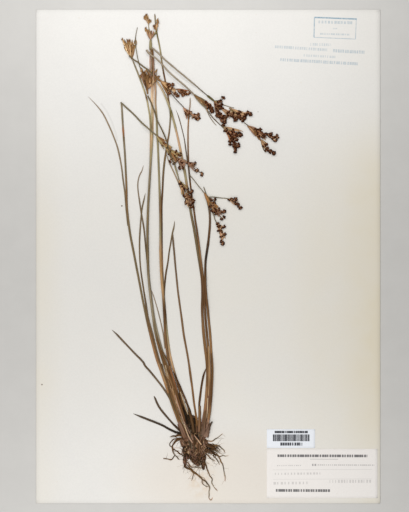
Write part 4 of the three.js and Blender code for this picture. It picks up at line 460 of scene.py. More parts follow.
# Panicles: width of the stem end, stalks from the foot out, with a semicolon between them, and the places
# of the heads
PANICLES = {
    "panicle_top": (0.9,
        "-48.6,184 -48.6,187 -49.6,190.5 -50.4,195 -50.2,198.6 -51.4,201.8 -53,204.3; -48.7,186 "
        "-50.6,188.6 -51.5,190.8 -52.9,193.3; -48.6,185.5 -47.2,187.4 -46.4,189",
        "-49.8,199.7 -51.3,202 -52.3,204.5 -53.7,203 -52.9,193 -51.4,191.2 -48.8,189.6 -47.9,187.4 "
        "-50.9,188.8"),
    "panicle_tall": (0.9,
        "-43.3,191.5 -43.4,194.5 -43.2,197.5 -42.6,199.8; -43.4,193.6 -45.6,194.8",
        "-42.6,199.8 -43.3,197.6 -44,196 -45.7,195 -44.6,193"),
    "panicle_left": (0.9,
        "-64.4,167.1 -65.3,170.5 -67.6,174 -69.6,177.5 -70.8,181 -72.2,183.7; -65,169.5 -66.2,174 "
        "-67.7,178 -68.6,182.4; -64.9,170 -64.7,173.5 -64.2,176.5 -62.7,178.8; -65.4,174 -66.4,179 "
        "-66.9,182.8; -64,176.8 -63.6,179.6 -62.2,181.4",
        "-72.1,183.4 -70.6,181.3 -69.7,179 -70.2,176.9 -68.5,183 -68.7,179.8 -66.9,182.9 -67.2,180.6 "
        "-66.3,177.6 -64.2,176 -64.7,173 -62.7,178.2 -64.3,181.6 -61.4,179.6 -61.9,182.5 -67.2,173 "
        "-65.4,171 -68.6,175"),
    "panicle_brown": (0.9,
        "-51.4,139.8 -52.2,143.5 -53.6,148 -54.2,152.5 -55.6,156.5 -56.7,158.6; -51.5,141.5 -50.9,146 "
        "-50.6,151 -51,155.5 -51.9,157.6; -51,142.5 -48.6,146.5 -47.3,150.5 -47.2,154.5 -47.8,156.7; "
        "-49.8,144.5 -46.6,147.6 -44.8,151 -43.8,154 -44,157; -56.4,157.5 -57.9,160.5 -59.2,165.5 "
        "-60.6,172 -61.6,180 -61.4,187 -60,194.2",
        "-56.7,158.6 -53.9,156 -55.2,153.5 -57,153.2 -54.3,150.6 -53.4,148 -52.9,145.2 -51.8,142.8 "
        "-50.6,152.2 -50.1,155.4 -51.9,157.8 -50.9,148.9 -49.4,146.8 -47.4,153.4 -47.8,156.6 -45.6,155 "
        "-44,157.1 -43.8,151.3 -45.2,148.8 -47,145.8 -42.2,151.6 -48.5,150.2"),
    "panicle_middle": (1.3,
        "-66.9,170.1 -63.5,167 -59.7,164.6 -55,160.8 -49.8,157 -45,151.4 -41.5,148.6 -38,146.4 "
        "-35.4,143.4 -33.7,140.4 -32.9,137.8; -37.5,146.4 -34,146 -31.8,145.2 -29.3,145.6; -35.4,143.6 "
        "-32.4,143 -30.5,142; -33.4,140 -30.5,139.2 -28,137.6 -25.6,136.3; -31,142.4 -28,142 -24.8,140.4 "
        "-21.6,139.6 -18.6,138.3 -15.4,139.3; -21.8,139.5 -21.2,136.6",
        "-29.2,145.6 -31.9,145 -33.7,143.3 -30.7,142.1 -32.2,139.7 -33,137.6 -34.5,145.6 -28.3,138 "
        "-26.5,136.8 -25.2,136 -23.9,138.7 -22,140.3 -21.1,136.3 -18.7,138.4 -17.2,137.2 -15.4,139.4 "
        "-20.2,138"),
    "panicle_small": (0.9,
        "-33,140 -29.4,135.4 -25.2,131 -21.3,127 -18.9,123.4 -17.4,119.6 -16.9,116.4; -17.8,121.4 "
        "-14.6,121.8; -17.4,119.6 -14.9,119 -12,119.8 -9.2,119.7 -8,120.5; -13.6,119.3 -12.2,118 "
        "-9.8,117.6 -8.6,116",
        "-18.6,122.5 -19,120.6 -14.4,122 -16.6,120.6 -16.4,118.2 -11.6,120.4 -12.6,117.9 -9.2,119.4 "
        "-7.8,120.8 -8.6,115.7 -7.2,117.6 -10,117.4"),
    "panicle_centre": (1.4,
        "-74.2,130.6 -70.4,127.3 -66,123.3 -61.5,118.9 -56.6,113.6 -51.8,109.2 -47,105 -42.6,101.2 "
        "-39,96.5 -35,92 -31.8,87.8 -28.6,84.8 -25.5,82.2 -22,80.4 -17.5,79.6 -13.6,78.2 -10.6,79.2; "
        "-34.8,91.8 -30.5,90.2 -27,88.4 -23.8,86.8; -34,90.6 -32.8,86.4 -31.3,82.6 -28.8,78.6; -26,82.4 "
        "-24.6,78.5 -23.4,75 -21.3,74.8; -17.6,79.4 -14.4,76.2 -10.2,73.2 -6.6,71 -5.4,69.3",
        "-38.9,94.2 -36.6,96 -34.2,92.2 -32.2,89 -27.1,88.7 -23.1,87.3 -24.3,85.4 -33.6,86.6 -31,82.4 "
        "-32.5,80.2 -28.6,78.4 -25.6,81.5 -22.6,79.8 -24.9,74.7 -21.2,75.2 -17.4,79.4 -12.8,76.9 "
        "-10.6,79.4 -14.2,78.8 -8.9,73.5 -10.4,72.1 -5,70.8 -5.6,68.5 -28.4,85.2"),
    "panicle_low": (1.2,
        "-51.2,136.2 -48.3,130 -45.2,121.8 -42.8,114.5 -38.6,106 -35.2,97.6 -33.6,91.5 -30.5,82.5 "
        "-28,76.8 -25,66 -23.2,61.5 -20.6,57 -18.6,52 -17,48.2 -15.2,43.6 -14.3,41; -20.8,57.5 "
        "-17.4,56.8 -15.4,54.8 -13.4,55.3; -19,53 -20.4,50.8; -18,51.2 -14.6,50.5; -17,48.6 -19.2,45.6; "
        "-15.8,44.8 -13.4,45.6 -12.8,48",
        "-23.4,61.6 -21.9,60.1 -20.4,57.1 -17.2,56.9 -16,53.9 -14.2,53.6 -13.2,55.6 -20.4,50.9 "
        "-16.9,48.5 -14.5,50.5 -19.5,46.4 -18.4,44.6 -12.7,48 -13.1,45.2 -14.4,41.3 -15.7,43.5 -12.6,42 "
        "-17.2,52"),
    "panicle_right_lower": (1.45,
        "-52,174.8 -50.4,172.3 -48.2,170.2 -44.6,168 -39.6,163 -34.4,157.3 -28.6,151.9 -21.4,145.8 "
        "-14.6,139.6 -9.6,134.6 -5,129.4 -0.4,123.4 4,117.6 8.6,113 12.8,109.2 15.6,106.4 18.6,104 "
        "20.4,101.6 20.4,98.4 21.6,95.6 22.8,92 22.8,88.6; -9.6,134.6 -5,132.8 -1,130.4 1.4,128 3,125.6; "
        "-6.5,131.1 -2,127.6 1,124.6 2.8,123; 13.6,108.4 17.5,107.2 21,106 24.4,104.4 28.2,102.8; "
        "20.2,101.9 23,101 24.2,98.8; 19.2,103.4 18.4,99.5 18.6,95; 21.6,95.6 24.2,94.2 26,94.6; "
        "-1.4,124.6 0.8,119.4 3.6,115 6.9,111.2",
        "-1.6,130.1 0.7,128.4 2,126.1 3.6,125.2 2.3,122.8 4.4,123.6 0.2,126 15.4,106.6 17.2,104.3 "
        "19,103.2 20.6,105.8 19.2,101.4 21.4,101.2 24.2,104.1 25.4,102.2 28.3,102.9 27.2,104.4 "
        "23.2,101.2 20.8,99.2 24.2,98.4 18.3,97.2 18.6,94.7 22.2,96.2 21.2,93.4 26.3,94.6 24.6,92.9 "
        "23.4,91.2 22.8,88.3"),
    "panicle_right_upper": (1.45,
        "-47.8,176.8 -43.6,173.2 -40.4,170.2 -35,165 -29.1,160 -22.7,154.7 -15.6,148.8 -8,142.6 0,135.8 "
        "5.5,131.2 8.4,129.2 11,127.4 11.6,125.4; 8.2,129.3 10.2,131.4 12.2,133.6; 9,128.7 12,128.6; "
        "6,130.9 6.6,126.5 8.6,123.8 10.2,121 9.6,118.2; 11.5,125.5 14.6,124.4 17.4,122.2 19.4,119.8 "
        "21.6,118.4 22.8,115.4; 17.8,121.8 21.4,121.6 24.4,120.8 26.2,119 28,116.8 29.6,114.9; "
        "24.2,120.8 26.8,122.9; 28,116.9 30.8,118.4 32,120.6 34,121.8 36.2,120.4; 9.7,118.4 12.8,118 "
        "15.2,118.4; 12.6,118 14,114.6 13,111.4; 8.4,129.2 13,128.4 18,126.9 22,126",
        "8.6,131.5 11,132.1 12.9,134.8 7.2,127.8 9.4,127.6 11.8,128.7 6.5,125.6 8.3,124 11.5,125.4 "
        "8.8,122.2 10.4,120.8 7.1,119.7 9.4,118 11.2,117.2 13.3,118.8 15.5,118.2 14.6,116.2 13,113.5 "
        "14.7,113.2 12.8,111 17.6,122.3 17,119.7 19.1,118.9 21.5,121.6 20.7,119.2 23,115 21.8,117.2 "
        "24.2,116.6 25.6,121.2 27.1,122.8 26.3,119.1 25.4,117.5 27.4,116.7 29.6,114.8 31.1,118.2 "
        "30.6,116.4 31.7,120.1 33.8,121.9 36.4,120.1 35.7,121"),
    "panicle_far_right": (0.9,
        "30.6,113.2 34.5,110.6 37.6,108.6 41,106.4 44.2,104.8 47.6,103.6 51.4,102.8 54.4,100.4 "
        "56.8,98.4; 40.4,106.8 44.4,107.6; 43,105.4 42.6,101.6 44.4,98.4 46.8,95.2 48.6,92.4 49.2,89.8; "
        "46,104.1 47.1,101; 50.4,103 53.4,103.9; 54.6,100.2 56.4,102.2 58.4,101.8; 48.2,93 51,90.8 "
        "53.2,89.2 55.8,87.8; 46.8,95.2 49.6,95",
        "39.5,107.8 40.8,106 42.6,107.6 44.6,107.8 42,104.2 42.8,101.7 45.4,105.2 47.1,101 46.5,103 "
        "48.6,104.2 51,102.5 52.6,104.4 53.9,103.8 52.2,101.2 54.6,99.4 57,97.6 55.6,101.2 58.6,102.1 "
        "58.4,100.2 47.7,93.4 49.8,95 50.4,92 48.4,89.8 50.5,89.8 52,88.3 53.6,90 55.2,86.6 56.6,88"),
    "panicle_right": (0.9,
        "-16.2,69.6 -12.9,65.6 -9.5,61.4 -6.1,57.2 -3.4,53.8 -0.6,50.6 1.4,47 2.8,43.6 3.6,40 4.4,36.8 "
        "5.6,32 7.6,28 9,25 9.4,21.6 10.6,18 11.6,14.6 12.2,10.6; 0.4,49 4,48.2 6.2,48.2; 2.6,44 "
        "5.4,45.8; 3.4,41.4 6.4,38.4 9.4,39.4 12,37.6 14.4,38.4; 6,38.6 7.4,35.8; 6.6,37.4 9.6,34.6 "
        "12,32.4 13.8,33.2; -0.6,50.6 5,50.3 10,49.8 15.4,49.2 19,48.6 22,47.6 24.2,44.8 26.4,42.2 "
        "27.8,41; 21.6,47.8 23.8,48.8; 8.2,26.8 11.4,25.2 14.2,25.4; 9.6,20.8 12,20 14,18.6; -1,51.1 "
        "-1.9,53.8 -2.8,56.3 -3.9,59",
        "2.4,47.9 6.2,48.4 5.6,45.8 1.5,41.9 4.4,43.6 5.5,40.8 3.3,38.2 7.2,35.7 6.6,38.7 9.5,39.6 "
        "12,36.9 14.5,38.4 11.5,31.4 13.8,33.4 18,47.5 19.9,49.1 22,47 24,48.8 23.3,44.3 25.4,44.6 "
        "26.5,41.4 28,40.8 9.2,25.2 12,24.2 14.3,25.5 9.2,21.7 11,21.8 14.3,18.5 11.1,16.5 10.7,12.6 "
        "13.3,11.8 12.2,9.9 7.9,27.6"),
}

SHEET_TOP = 0.6
LIE = 0.62  # height at which the finest things lie on the sheet
BELOW, ABOVE = -1, 30  # heights from which rays look for the solids
LOTS = 900  # two strips start up to this far apart in the grain of the tissue
FINE = 12  # places between two points of a route, before they are spaced evenly
EASE = 6  # places at each end of a line over which its waver dies out
SETTLE = 0.08  # how far the dressed pieces settle into the air left under the solids
PRESSED = CAD_BOX[1][2] / MM - 0.001  # the press left nothing higher than this
UP = np.array([0.0, 0.0, 1.0])
FEEL = [(0.0, 0.0)] + [
    (reach * math.cos(turn), reach * math.sin(turn))
    for reach in (0.3, 0.6, 0.9, 1.3)
    for turn in np.linspace(0, 2 * math.pi, 8, endpoint=False)
]


# Lines and random wander

def draws(name):
    """Random draws that are the same for a name in every run."""
    return np.random.default_rng(zlib.crc32(name.encode()))


def wander(rng, count, every, reach):
    """A smooth random wander over count values, which can turn once in about every values."""
    knots = max(4, int(count / every) + 3)
    heights = rng.normal(0, reach, knots)
    at = np.linspace(0, knots - 1.001, count)
    left = at.astype(int)
    share = at - left
    share = share * share * (3 - 2 * share)
    return heights[left] * (1 - share) + heights[left + 1] * share


def smooth_line(points, step):
    """Places at even steps along a smooth line through given points."""
    p = np.asarray(points, float)
    ends = np.vstack([2 * p[0] - p[1], p, 2 * p[-1] - p[-2]])
    spans = np.sqrt(np.linalg.norm(np.diff(ends, axis=0), axis=1))
    dense = []
    for k in range(len(p) - 1):
        a, b, c, d = ends[k:k + 4]
        ta, tb, tc, td = np.concatenate([[0], np.cumsum(spans[k:k + 3])])
        t = np.linspace(tb, tc, FINE, endpoint=False)[:, None]
        ab = a + (b - a) * (t - ta) / (tb - ta)
        bc = b + (c - b) * (t - tb) / (tc - tb)
        cd = c + (d - c) * (t - tc) / (td - tc)
        abc = ab + (bc - ab) * (t - ta) / (tc - ta)
        bcd = bc + (cd - bc) * (t - tb) / (td - tb)
        dense.append(abc + (bcd - abc) * (t - tb) / (tc - tb))
    dense = np.vstack(dense + [p[-1:]])
    along = np.concatenate([[0], np.cumsum(np.linalg.norm(np.diff(dense, axis=0), axis=1))])
    count = max(4, round(along[-1] / step) + 1)
    at = np.linspace(0, along[-1], count)
    return np.column_stack([np.interp(at, along, dense[:, k]) for k in range(dense.shape[1])])


def unit(vectors):
    return vectors / np.maximum(np.linalg.norm(vectors, axis=-1, keepdims=True), 1e-9)


def nudge(line, rng, every, reach):
    """Lets a flat line waver sideways, with its ends kept."""
    run = unit(np.gradient(line, axis=0))
    steps = np.arange(len(line))
    ease = np.minimum(1, np.minimum(steps, steps[::-1]) / EASE)
    sideways = np.column_stack([run[:, 1], -run[:, 0]])
    return line + sideways * (wander(rng, len(line), every, reach) * ease)[:, None]


def soften(values, reach):
    """A running mean with steady ends."""
    padded = np.pad(values, reach, mode="edge")
    return np.convolve(padded, np.ones(2 * reach + 1) / (2 * reach + 1), mode="valid")


def crest(values, reach):
    """The highest of the values near each place, so that a strip rides over what it crosses."""
    padded = np.pad(np.asarray(values, float), reach, mode="edge")
    return np.lib.stride_tricks.sliding_window_view(padded, 2 * reach + 1).max(axis=1)


# Heights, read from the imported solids, so that every piece lies where its solid does

def tree_of(*nodes):
    """Some solids, in millimetres, as a tree that rays can look into."""
    points, faces = [], []
    for node in nodes:
        mesh = frame["nodes"][node].data
        first = len(points)
        points += [v.co / MM for v in mesh.vertices]
        faces += [[first + i for i in face.vertices] for face in mesh.polygons]
    return BVHTree.FromPolygons(points, faces)


def foot_at(tree, x, y):
    """Height of the underside of a solid over a place on the sheet, or nan beside it."""
    for dx, dy in FEEL:
        hit = tree.ray_cast(Vector((x + dx, y + dy, BELOW)), Vector((0, 0, 1)))
        if hit[0] is not None:
            return hit[0].z
    return math.nan


def top_at(tree, x, y):
    """Height of the top of what lies at a place on the sheet."""
    hit = tree.ray_cast(Vector((x, y, ABOVE)), Vector((0, 0, -1)))
    return LIE if hit[0] is None else hit[0].z


def tops(line, *trees):
    """Heights of the top of what lies under a line, on the highest of some trees."""
    return np.array([max(top_at(tree, *place) for tree in trees) for place in line])


def feet(tree, line, reach=2):
    """Heights at which a piece lies along a line."""
    found = np.array([foot_at(tree, x, y) for x, y in line])
    known = ~np.isnan(found)
    if not known.any():
        return np.full(len(line), SHEET_TOP + 0.1 - SETTLE)
    at = np.arange(len(line))
    return soften(np.interp(at, at[known], found[known]), reach) - SETTLE


# Meshes

def linked(name, data):
    """A new object in the scene."""
    thing = bpy.data.objects.new(name, data)
    bpy.context.scene.collection.objects.link(thing)
    return thing


class Heap:
    """Points and faces gathered for one piece, with what the materials read at each point: its own tint, and
    its place in the straightened tissue, across, up and along."""

    def __init__(self):
        self.points, self.tints, self.grains, self.faces, self.slots = [], [], [], [], []
        self.count = 0

    def add(self, points, faces, tints, grains, slot=0):
        self.points.append(np.asarray(points, float).reshape(-1, 3))
        self.tints.append(np.broadcast_to(tints, self.points[-1].shape))
        self.grains.append(np.broadcast_to(grains, self.points[-1].shape))
        self.faces += [[self.count + i for i in face] for face in faces]
        self.slots += [slot] * len(faces)
        self.count += len(self.points[-1])

    def make(self, name, materials, body="root", slot=None, replaces=None):
        """One object of all that was gathered, riding on its body."""
        mesh = bpy.data.meshes.new(name)
        points = np.vstack(self.points)
        points[:, 2] = np.minimum(points[:, 2], PRESSED)
        mesh.from_pydata((points * MM).tolist(), [], self.faces)
        mesh.polygons.foreach_set("material_index", self.slots)
        mesh.shade_smooth()
        tints = np.column_stack([np.clip(np.vstack(self.tints), 0, 1), np.ones(self.count)])
        mesh.attributes.new("tint", "FLOAT_COLOR", "POINT").data.foreach_set("color", tints.ravel())
        grains = np.vstack(self.grains) * MM
        mesh.attributes.new("grain", "FLOAT_VECTOR", "POINT").data.foreach_set("vector", grains.ravel())
        for material in materials:
            mesh.materials.append(material)
        mesh.update()
        piece = linked(name, mesh)
        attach(piece, body)
        if replaces:
            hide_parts(replaces)
        return piece


def tube_faces(rings, sides):
    """Quads between rings of points, and a fan over each end, whose middle points come after the rings."""
    i, j = np.meshgrid(np.arange(rings - 1), np.arange(sides), indexing="ij")
    k = (j + 1) % sides
    here, there = i * sides, (i + 1) * sides
    walls = np.stack([here + j, there + j, there + k, here + k], -1)
    foot, tip = rings * sides, rings * sides + 1
    last = (rings - 1) * sides
    ends = [[foot, s, (s + 1) % sides] for s in range(sides)]
    ends += [[tip, last + (s + 1) % sides, last + s] for s in range(sides)]
    return walls.reshape(-1, 4).tolist() + ends


def sweep(heap, rng, line, sections, tints, slot=0, rise=UP):
    """A closed strip along a line. sections holds a loop of (across, up) for each place of the line,
    anticlockwise as seen from its foot. tints is a colour for each place, or for each point of each section.
    Its lot is where in the tissue its grain starts."""
    lot = rng.uniform(0, LOTS)
    line = np.asarray(line, float)
    rings, sides = sections.shape[:2]
    run = unit(np.gradient(line, axis=0))
    across = np.cross(run, rise)
    flat = np.linalg.norm(across, axis=1) < 1e-3
    across[flat] = (1, 0, 0)
    across = unit(across)
    up = np.cross(across, run)
    places = (
        line[:, None, :]
        + sections[..., 0, None] * across[:, None, :]
        + sections[..., 1, None] * up[:, None, :]
    )
    middles = places.mean(axis=1)
    along = np.concatenate([[0], np.cumsum(np.linalg.norm(np.diff(line, axis=0), axis=1))]) + lot
    grain = np.stack([
        sections[..., 0] + lot,
        sections[..., 1],
        np.broadcast_to(along[:, None], sections.shape[:2]),
    ], -1).reshape(-1, 3)
    ends = np.array([[lot, 0, along[0]], [lot, 0, along[-1]]])
    tints = np.asarray(tints, float)
    if tints.ndim == 1:
        tints = np.broadcast_to(tints, (rings, 3))
    if tints.ndim == 2:
        tints = np.broadcast_to(tints[:, None, :], (rings, sides, 3))
    heap.add(
        np.vstack([places.reshape(-1, 3), middles[[0, -1]]]),
        tube_faces(rings, sides),
        np.vstack([tints.reshape(-1, 3), tints[0].mean(axis=0), tints[-1].mean(axis=0)]),
        np.vstack([grain, ends]),
        slot,
    )


def blend_tints(stops, at):
    """Colours at places, from (place, colour name) stops in rising order."""
    where = [stop[0] for stop in stops]
    colours = np.array([hue(stop[1]) for stop in stops])
    return np.column_stack([np.interp(at, where, colours[:, k]) for k in range(3)])


# Sections of dry, pressed tissue

def pressed_loops(width, height, sides, groove=0.0, twist=0.0, square=2.5):
    """Flattened round loops with fine ribs, one for each width and height."""
    width, height = np.atleast_1d(width), np.atleast_1d(height)
    turn = np.linspace(0, 2 * math.pi, sides, endpoint=False)[None, :] + np.atleast_1d(twist)[:, None]
    c, s = np.cos(turn), np.sin(turn)
    rib = 1 - groove * (np.arange(sides) % 2)
    across = np.sign(c) * np.abs(c) ** (2 / square) * rib * width[:, None] / 2
    up = np.sign(s) * np.abs(s) ** (2 / square) * rib * height[:, None] / 2
    return np.stack(np.broadcast_arrays(across, up), -1)


def channelled_loops(width, thick, camber, roll):
    """Loops of a thin leaf, hollowed along its middle and rolled to one side, standing on height 0."""
    u = np.array([-1, -0.72, -0.36, 0, 0.36, 0.72, 1.0])
    low = camber[:, None] * u**2 * (1 - 0.25 * u**2)
    high = low + thick * (1 - 0.65 * u**4) * np.minimum(1, width[:, None] / 0.8)
    keel = np.where(u == 0, thick * 0.45, 0)
    across = np.concatenate([u, u[::-1]])[None, :] * width[:, None] / 2
    up = np.concatenate([low - keel, high[:, ::-1]], axis=1)
    c, s = np.cos(roll)[:, None], np.sin(roll)[:, None]
    turned = np.stack([across * c - up * s, across * s + up * c], -1)
    turned[..., 1] -= turned[..., 1].min(axis=1, keepdims=True)
    return turned


def husk_loops(width, height, thick, right, left, ribs):
    """Loops of a thin husk that arches over what it clasps, from its right edge over the top to its left."""
    count = 11
    share = np.linspace(0, 1, count)[None, :]
    turn = right[:, None] * (1 - share) + left[:, None] * share
    rib = 1 + ribs * np.cos(np.arange(count) * math.pi)[None, :]
    outer = np.stack([np.cos(turn) * width[:, None] / 2 * rib, np.sin(turn) * height[:, None] * rib], -1)
    inner_x = np.cos(turn) * (width[:, None] / 2 - thick)
    inner_y = np.sin(turn) * (height[:, None] - thick)
    inner = np.stack([inner_x, inner_y], -1)
    return np.concatenate([outer, inner[:, ::-1]], axis=1)


def painted_side_shade(sections, strength):
    """Painted shade: darkening towards the sides of each loop, most on its right, as a factor for every
    point.
    """
    reach = sections[..., 0]
    share = reach / np.maximum(np.abs(reach).max(axis=1, keepdims=True), 1e-6)
    return (1 - strength * np.where(share > 0, share**2, 0.4 * share**2))[..., None]


# Culms, leaves and husks

# edge in each form below is how strong the painted shade on the sides of its loops is
CULM = {
    "step": 1.0, "bends": 22, "waver": 0.09, "swells": 13, "swell": 0.035, "edge": 0.32,
    "lift": np.array([1.2, 1.19, 1.28]), "sides": 14, "groove": 0.07, "joint": 0.16, "joint_reach": 1.6,
}
BLADE = {
    "step": 1.2, "bends": 14, "waver": 0.1, "swells": 10, "swell": 0.06, "edge": 0.25,
    "lift": np.array([0.97, 0.89, 0.83]), "point": 7, "broken": 2.5, "thread": 2.3, "hollow": 0.22,
}
HUSK = {
    "step": 0.45, "bends": 9, "waver": 0.06, "swells": 8, "swell": 0.04, "edge": 0.2,
    "lift": 1, "height": 0.6, "ribs": 0.05, "tear": (0.5, 1.25),
}
# Pieces that are lighter or darker than their colours along the way say
LIFTS = {
    "stem_left": 1.1, "stem_middle": 1.16, "stem_folded_lower": 1.25, "stem_far_left": 1.08,
    "stem_right": 1.1, "stem_folded_upper": 0.88, "stem_slender": 1.04, "leaf_stub_lower": 0.66,
    "leaf_crossing_right": 0.84, "leaf_right_of_middle": 1.28, "leaf_dark_outer": 1.5,
    "leaf_dark_right": 0.67, "leaf_pale_centre": 1.18, "leaf_crossing_left": 0.92,
    "leaf_lone_left": 1.13, "leaf_short_inner": 0.85, "leaf_short_dark": 1.1, "leaf_dark_inner": 1.05,
    "sheath_right_tall": 0.66, "sheath_dark": 1.5,
}


def nodes_of(kind):
    """The nodes of one kind, in the order of their making."""
    return [node for node in STRIPS if node.startswith(kind)]


def culm_sections(node, rng, line, width):
    """Ribbed, flattened loops that swell at the joints, and how high their middles stand."""
    count = len(line)
    for joint in CULM_JOINTS.get(node, ()):
        width = width * (1 + CULM["joint"] * np.exp(-(((line[:, 1] - joint) / CULM["joint_reach"]) ** 2)))
    height = size("culm_height") * (1 + wander(rng, count, 15, 0.05))
    ends = np.minimum(1, np.minimum(np.arange(count) + 1.6, count - np.arange(count)) / 2.6)
    twist = wander(rng, count, 60, 0.5)
    return pressed_loops(width * ends, height * ends, CULM["sides"], CULM["groove"], twist), height / 2


def blade_sections(node, rng, line, width):
    """Loops of a leaf that narrows to its point. They stand on what is under them, so they don't rise."""
    count = len(line)
    left_over = (count - 1 - np.arange(count)) * BLADE["step"]
    point = BLADE["broken"] if node in BROKEN_BLADES else BLADE["point"]
    if node == "leaf_long_left":
        point *= BLADE["thread"]
    width = width * np.maximum(0.12, np.clip(left_over / point, 0, 1) ** 0.6)
    camber = BLADE["hollow"] * width * (1 + wander(rng, count, 12, 0.3))
    roll = wander(rng, count, 16, 0.22)
    return channelled_loops(width, size("blade_thickness"), camber, roll), 0


def husk_sections(node, rng, line, width):
    """Loops of a husk that clasps its culm and is torn open towards its tip."""
    along = np.linspace(0, 1, len(line))
    height = HUSK["height"] * np.interp(along, [0, 0.7, 1], [1.15, 1, 0.75])
    torn = np.clip((along - 0.62) / 0.38, 0, 1) ** 1.5
    ragged = rng.uniform(-0.16, 0.16, len(line)) * torn
    less, more = HUSK["tear"]
    side = rng.choice([-1, 1])
    right = 0.02 + torn * (more if side > 0 else less) + ragged
    left = math.pi - 0.02 - torn * (more if side < 0 else less) + ragged[::-1]
    return husk_loops(width, height, size("husk_thickness"), right, left, HUSK["ribs"]), 0


KINDS = {  # what a node's name begins with: the piece's word, its form, its loops and its finish
    "stem": ("culm", CULM, culm_sections, "culm"),
    "leaf": ("blade", BLADE, blade_sections, "leaf"),
    "sheath": ("husk", HUSK, husk_sections, "husk"),
}


def make_strip(node):
    """A culm, leaf or husk along its route, in place of its solid."""
    kind = node.split("_")[0]
    word, form, shape, finish = KINDS[kind]
    foot, tip, tints, route = STRIPS[node]
    rng = draws(node)
    line = nudge(smooth_line(points_of(route), form["step"]), rng, form["bends"], form["waver"])
    along = np.linspace(0, 1, len(line))
    swell = wander(rng, len(line), form["swells"], form["swell"])
    width = np.interp(along, [0, 1], [foot, tip]) * (1 + swell)
    sections, rise = shape(node, rng, line, width)
    lie = feet(tree_of(node), line)
    at = line[:, 1] if kind == "stem" else along
    tints = form["lift"] * LIFTS.get(node, 1) * blend_tints(stops_of(tints), at)[:, None, :]
    # Painted shade on the sides of the strip, strongest on its right
    tints = tints * painted_side_shade(sections, form["edge"])
    heap = Heap()
    sweep(heap, rng, np.column_stack([line, lie + rise]), sections, tints)
    if SLOTS[node] == "tan_stem":
        finish = "tan culm"
    heap.make(node.replace(kind, word), [plant_finish(finish)], slot=SLOTS[node], replaces=node)


# Panicles: folded culm ends, forked stalks, bracts, and heads of ripe capsules with their scales

CAPSULE_RINGS = np.array([
    (0.0, 0.42), (0.12, 0.78), (0.34, 1.0), (0.6, 0.99), (0.8, 0.78), (0.93, 0.42), (1.0, 0.1),
])
SCALE_RINGS = np.array([(0.0, 0.5, 0.6), (0.34, 1.0, 1.04), (0.7, 0.85, 1.14), (1.0, 0.15, 1.24)])
SCALES = 4
HUSKS_ROUND_HEAD = 4
CAPSULE_SIDES = 9
# edge is how strong the painted shade on the sides of a stalk is
STALK = {  # join is how near a stalk starts to the one it grows from, and thin is the leg's least width
    "step": 0.8, "sides": 8, "tip": 0.62, "leg_sides": 12, "bends": 9, "waver": 0.07, "height": 0.7,
    "groove": 0.05, "edge": 0.25, "join": 2, "thin": 0.9,
}
STALK_SLOT, CAPSULE_SLOT, SCALE_SLOT = range(3)
# How unripe a panicle's heads are, from 0, dark, to 1, orange tan. The palest are brushes of split florets
PALE_HEADS = {
    "panicle_top": 0.75, "panicle_tall": 0.65, "panicle_left": 0.75, "panicle_brown": 0.5,
    "panicle_small": 0.3, "panicle_middle": 0.36,
}
PALE_REST = 0.05
# Panicles whose heads are larger or smaller than the rest
HEAD_SIZES = {
    "panicle_right_lower": 1.14, "panicle_right_upper": 1.08, "panicle_centre": 0.88, "panicle_low": 0.95,
    "panicle_small": 0.9,
}
BRUSHED = 0.45


def nearest_on(lines, x, y):
    """How far the nearest place on some lines is, that place, and the direction there."""
    best = None
    for line in lines:
        gaps = np.hypot(line[:, 0] - x, line[:, 1] - y)
        k = int(gaps.argmin())
        if best is None or gaps[k] < best[0]:
            run = line[min(k + 1, len(line) - 1)] - line[max(k - 1, 0)]
            best = (gaps[k], line[k], unit(run))
    return best


def mixed(first, second, share):
    """A colour between two named ones."""
    share = min(1.0, max(0.0, share))
    return hue(first) * (1 - share) + hue(second) * share


def add_floret(heap, rng, base, aim, scale, pale, light):
    """A three-furrowed capsule that points along aim, with the scales that clasp it. pale and light say how
    far the capsule and its scales are from the darkest, up to 1."""
    long = size("capsule_length") * scale
    wide = size("capsule_width") * scale
    side = unit(np.cross(aim, UP if abs(aim[2]) < 0.9 else np.array([1.0, 0, 0])))
    top = np.cross(side, aim)
    turn = np.linspace(0, 2 * math.pi, CAPSULE_SIDES, endpoint=False)
    furrow = 1 + 0.09 * np.cos(3 * turn)
    radius = CAPSULE_RINGS[:, 1, None] * furrow[None, :] * wide / 2
    loops = np.stack([np.cos(turn) * radius, np.sin(turn) * radius], -1)
    line = base + aim * (CAPSULE_RINGS[:, 0, None] * long)
    dark = rng.uniform(0, 0.75)
    ripe = mixed("capsule", "capsule_dark", dark)
    unripe = mixed("capsule_pale", "capsule", dark * 0.4)
    skin = ripe * (1 - pale) + unripe * pale
    fade = np.interp(CAPSULE_RINGS[:, 0], [0, 0.6, 1], [1.15, 1, 0.6])
    sweep(heap, rng, line, loops, skin[None, :] * fade[:, None], CAPSULE_SLOT, rise=top)
    share, breadth, away = SCALE_RINGS.T
    first = rng.uniform(0, 2 * math.pi)
    for k in range(SCALES):
        angle = first + 2 * math.pi * k / SCALES + rng.uniform(-0.15, 0.15)
        out = side * math.cos(angle) + top * math.sin(angle)
        reach = size("scale_length") * scale * rng.uniform(0.75, 1.15)
        spread = away + share**2 * rng.uniform(-0.1, 0.5)
        line = base + aim * (share[:, None] * reach) + out * (spread[:, None] * wide / 2)
        loops = pressed_loops(breadth * size("scale_width") * scale, np.full(4, 0.11), 4, square=2)
        foot = mixed("scale", "scale_pale", light + rng.uniform(-0.35, 0.25))
        tip = mixed("capsule", "scale", pale + rng.uniform(0, 1))
        tints = foot + (tip - foot) * np.array([0, 0.15, 0.6, 1])[:, None]
        sweep(heap, rng, line, loops, tints, SCALE_SLOT, rise=out)


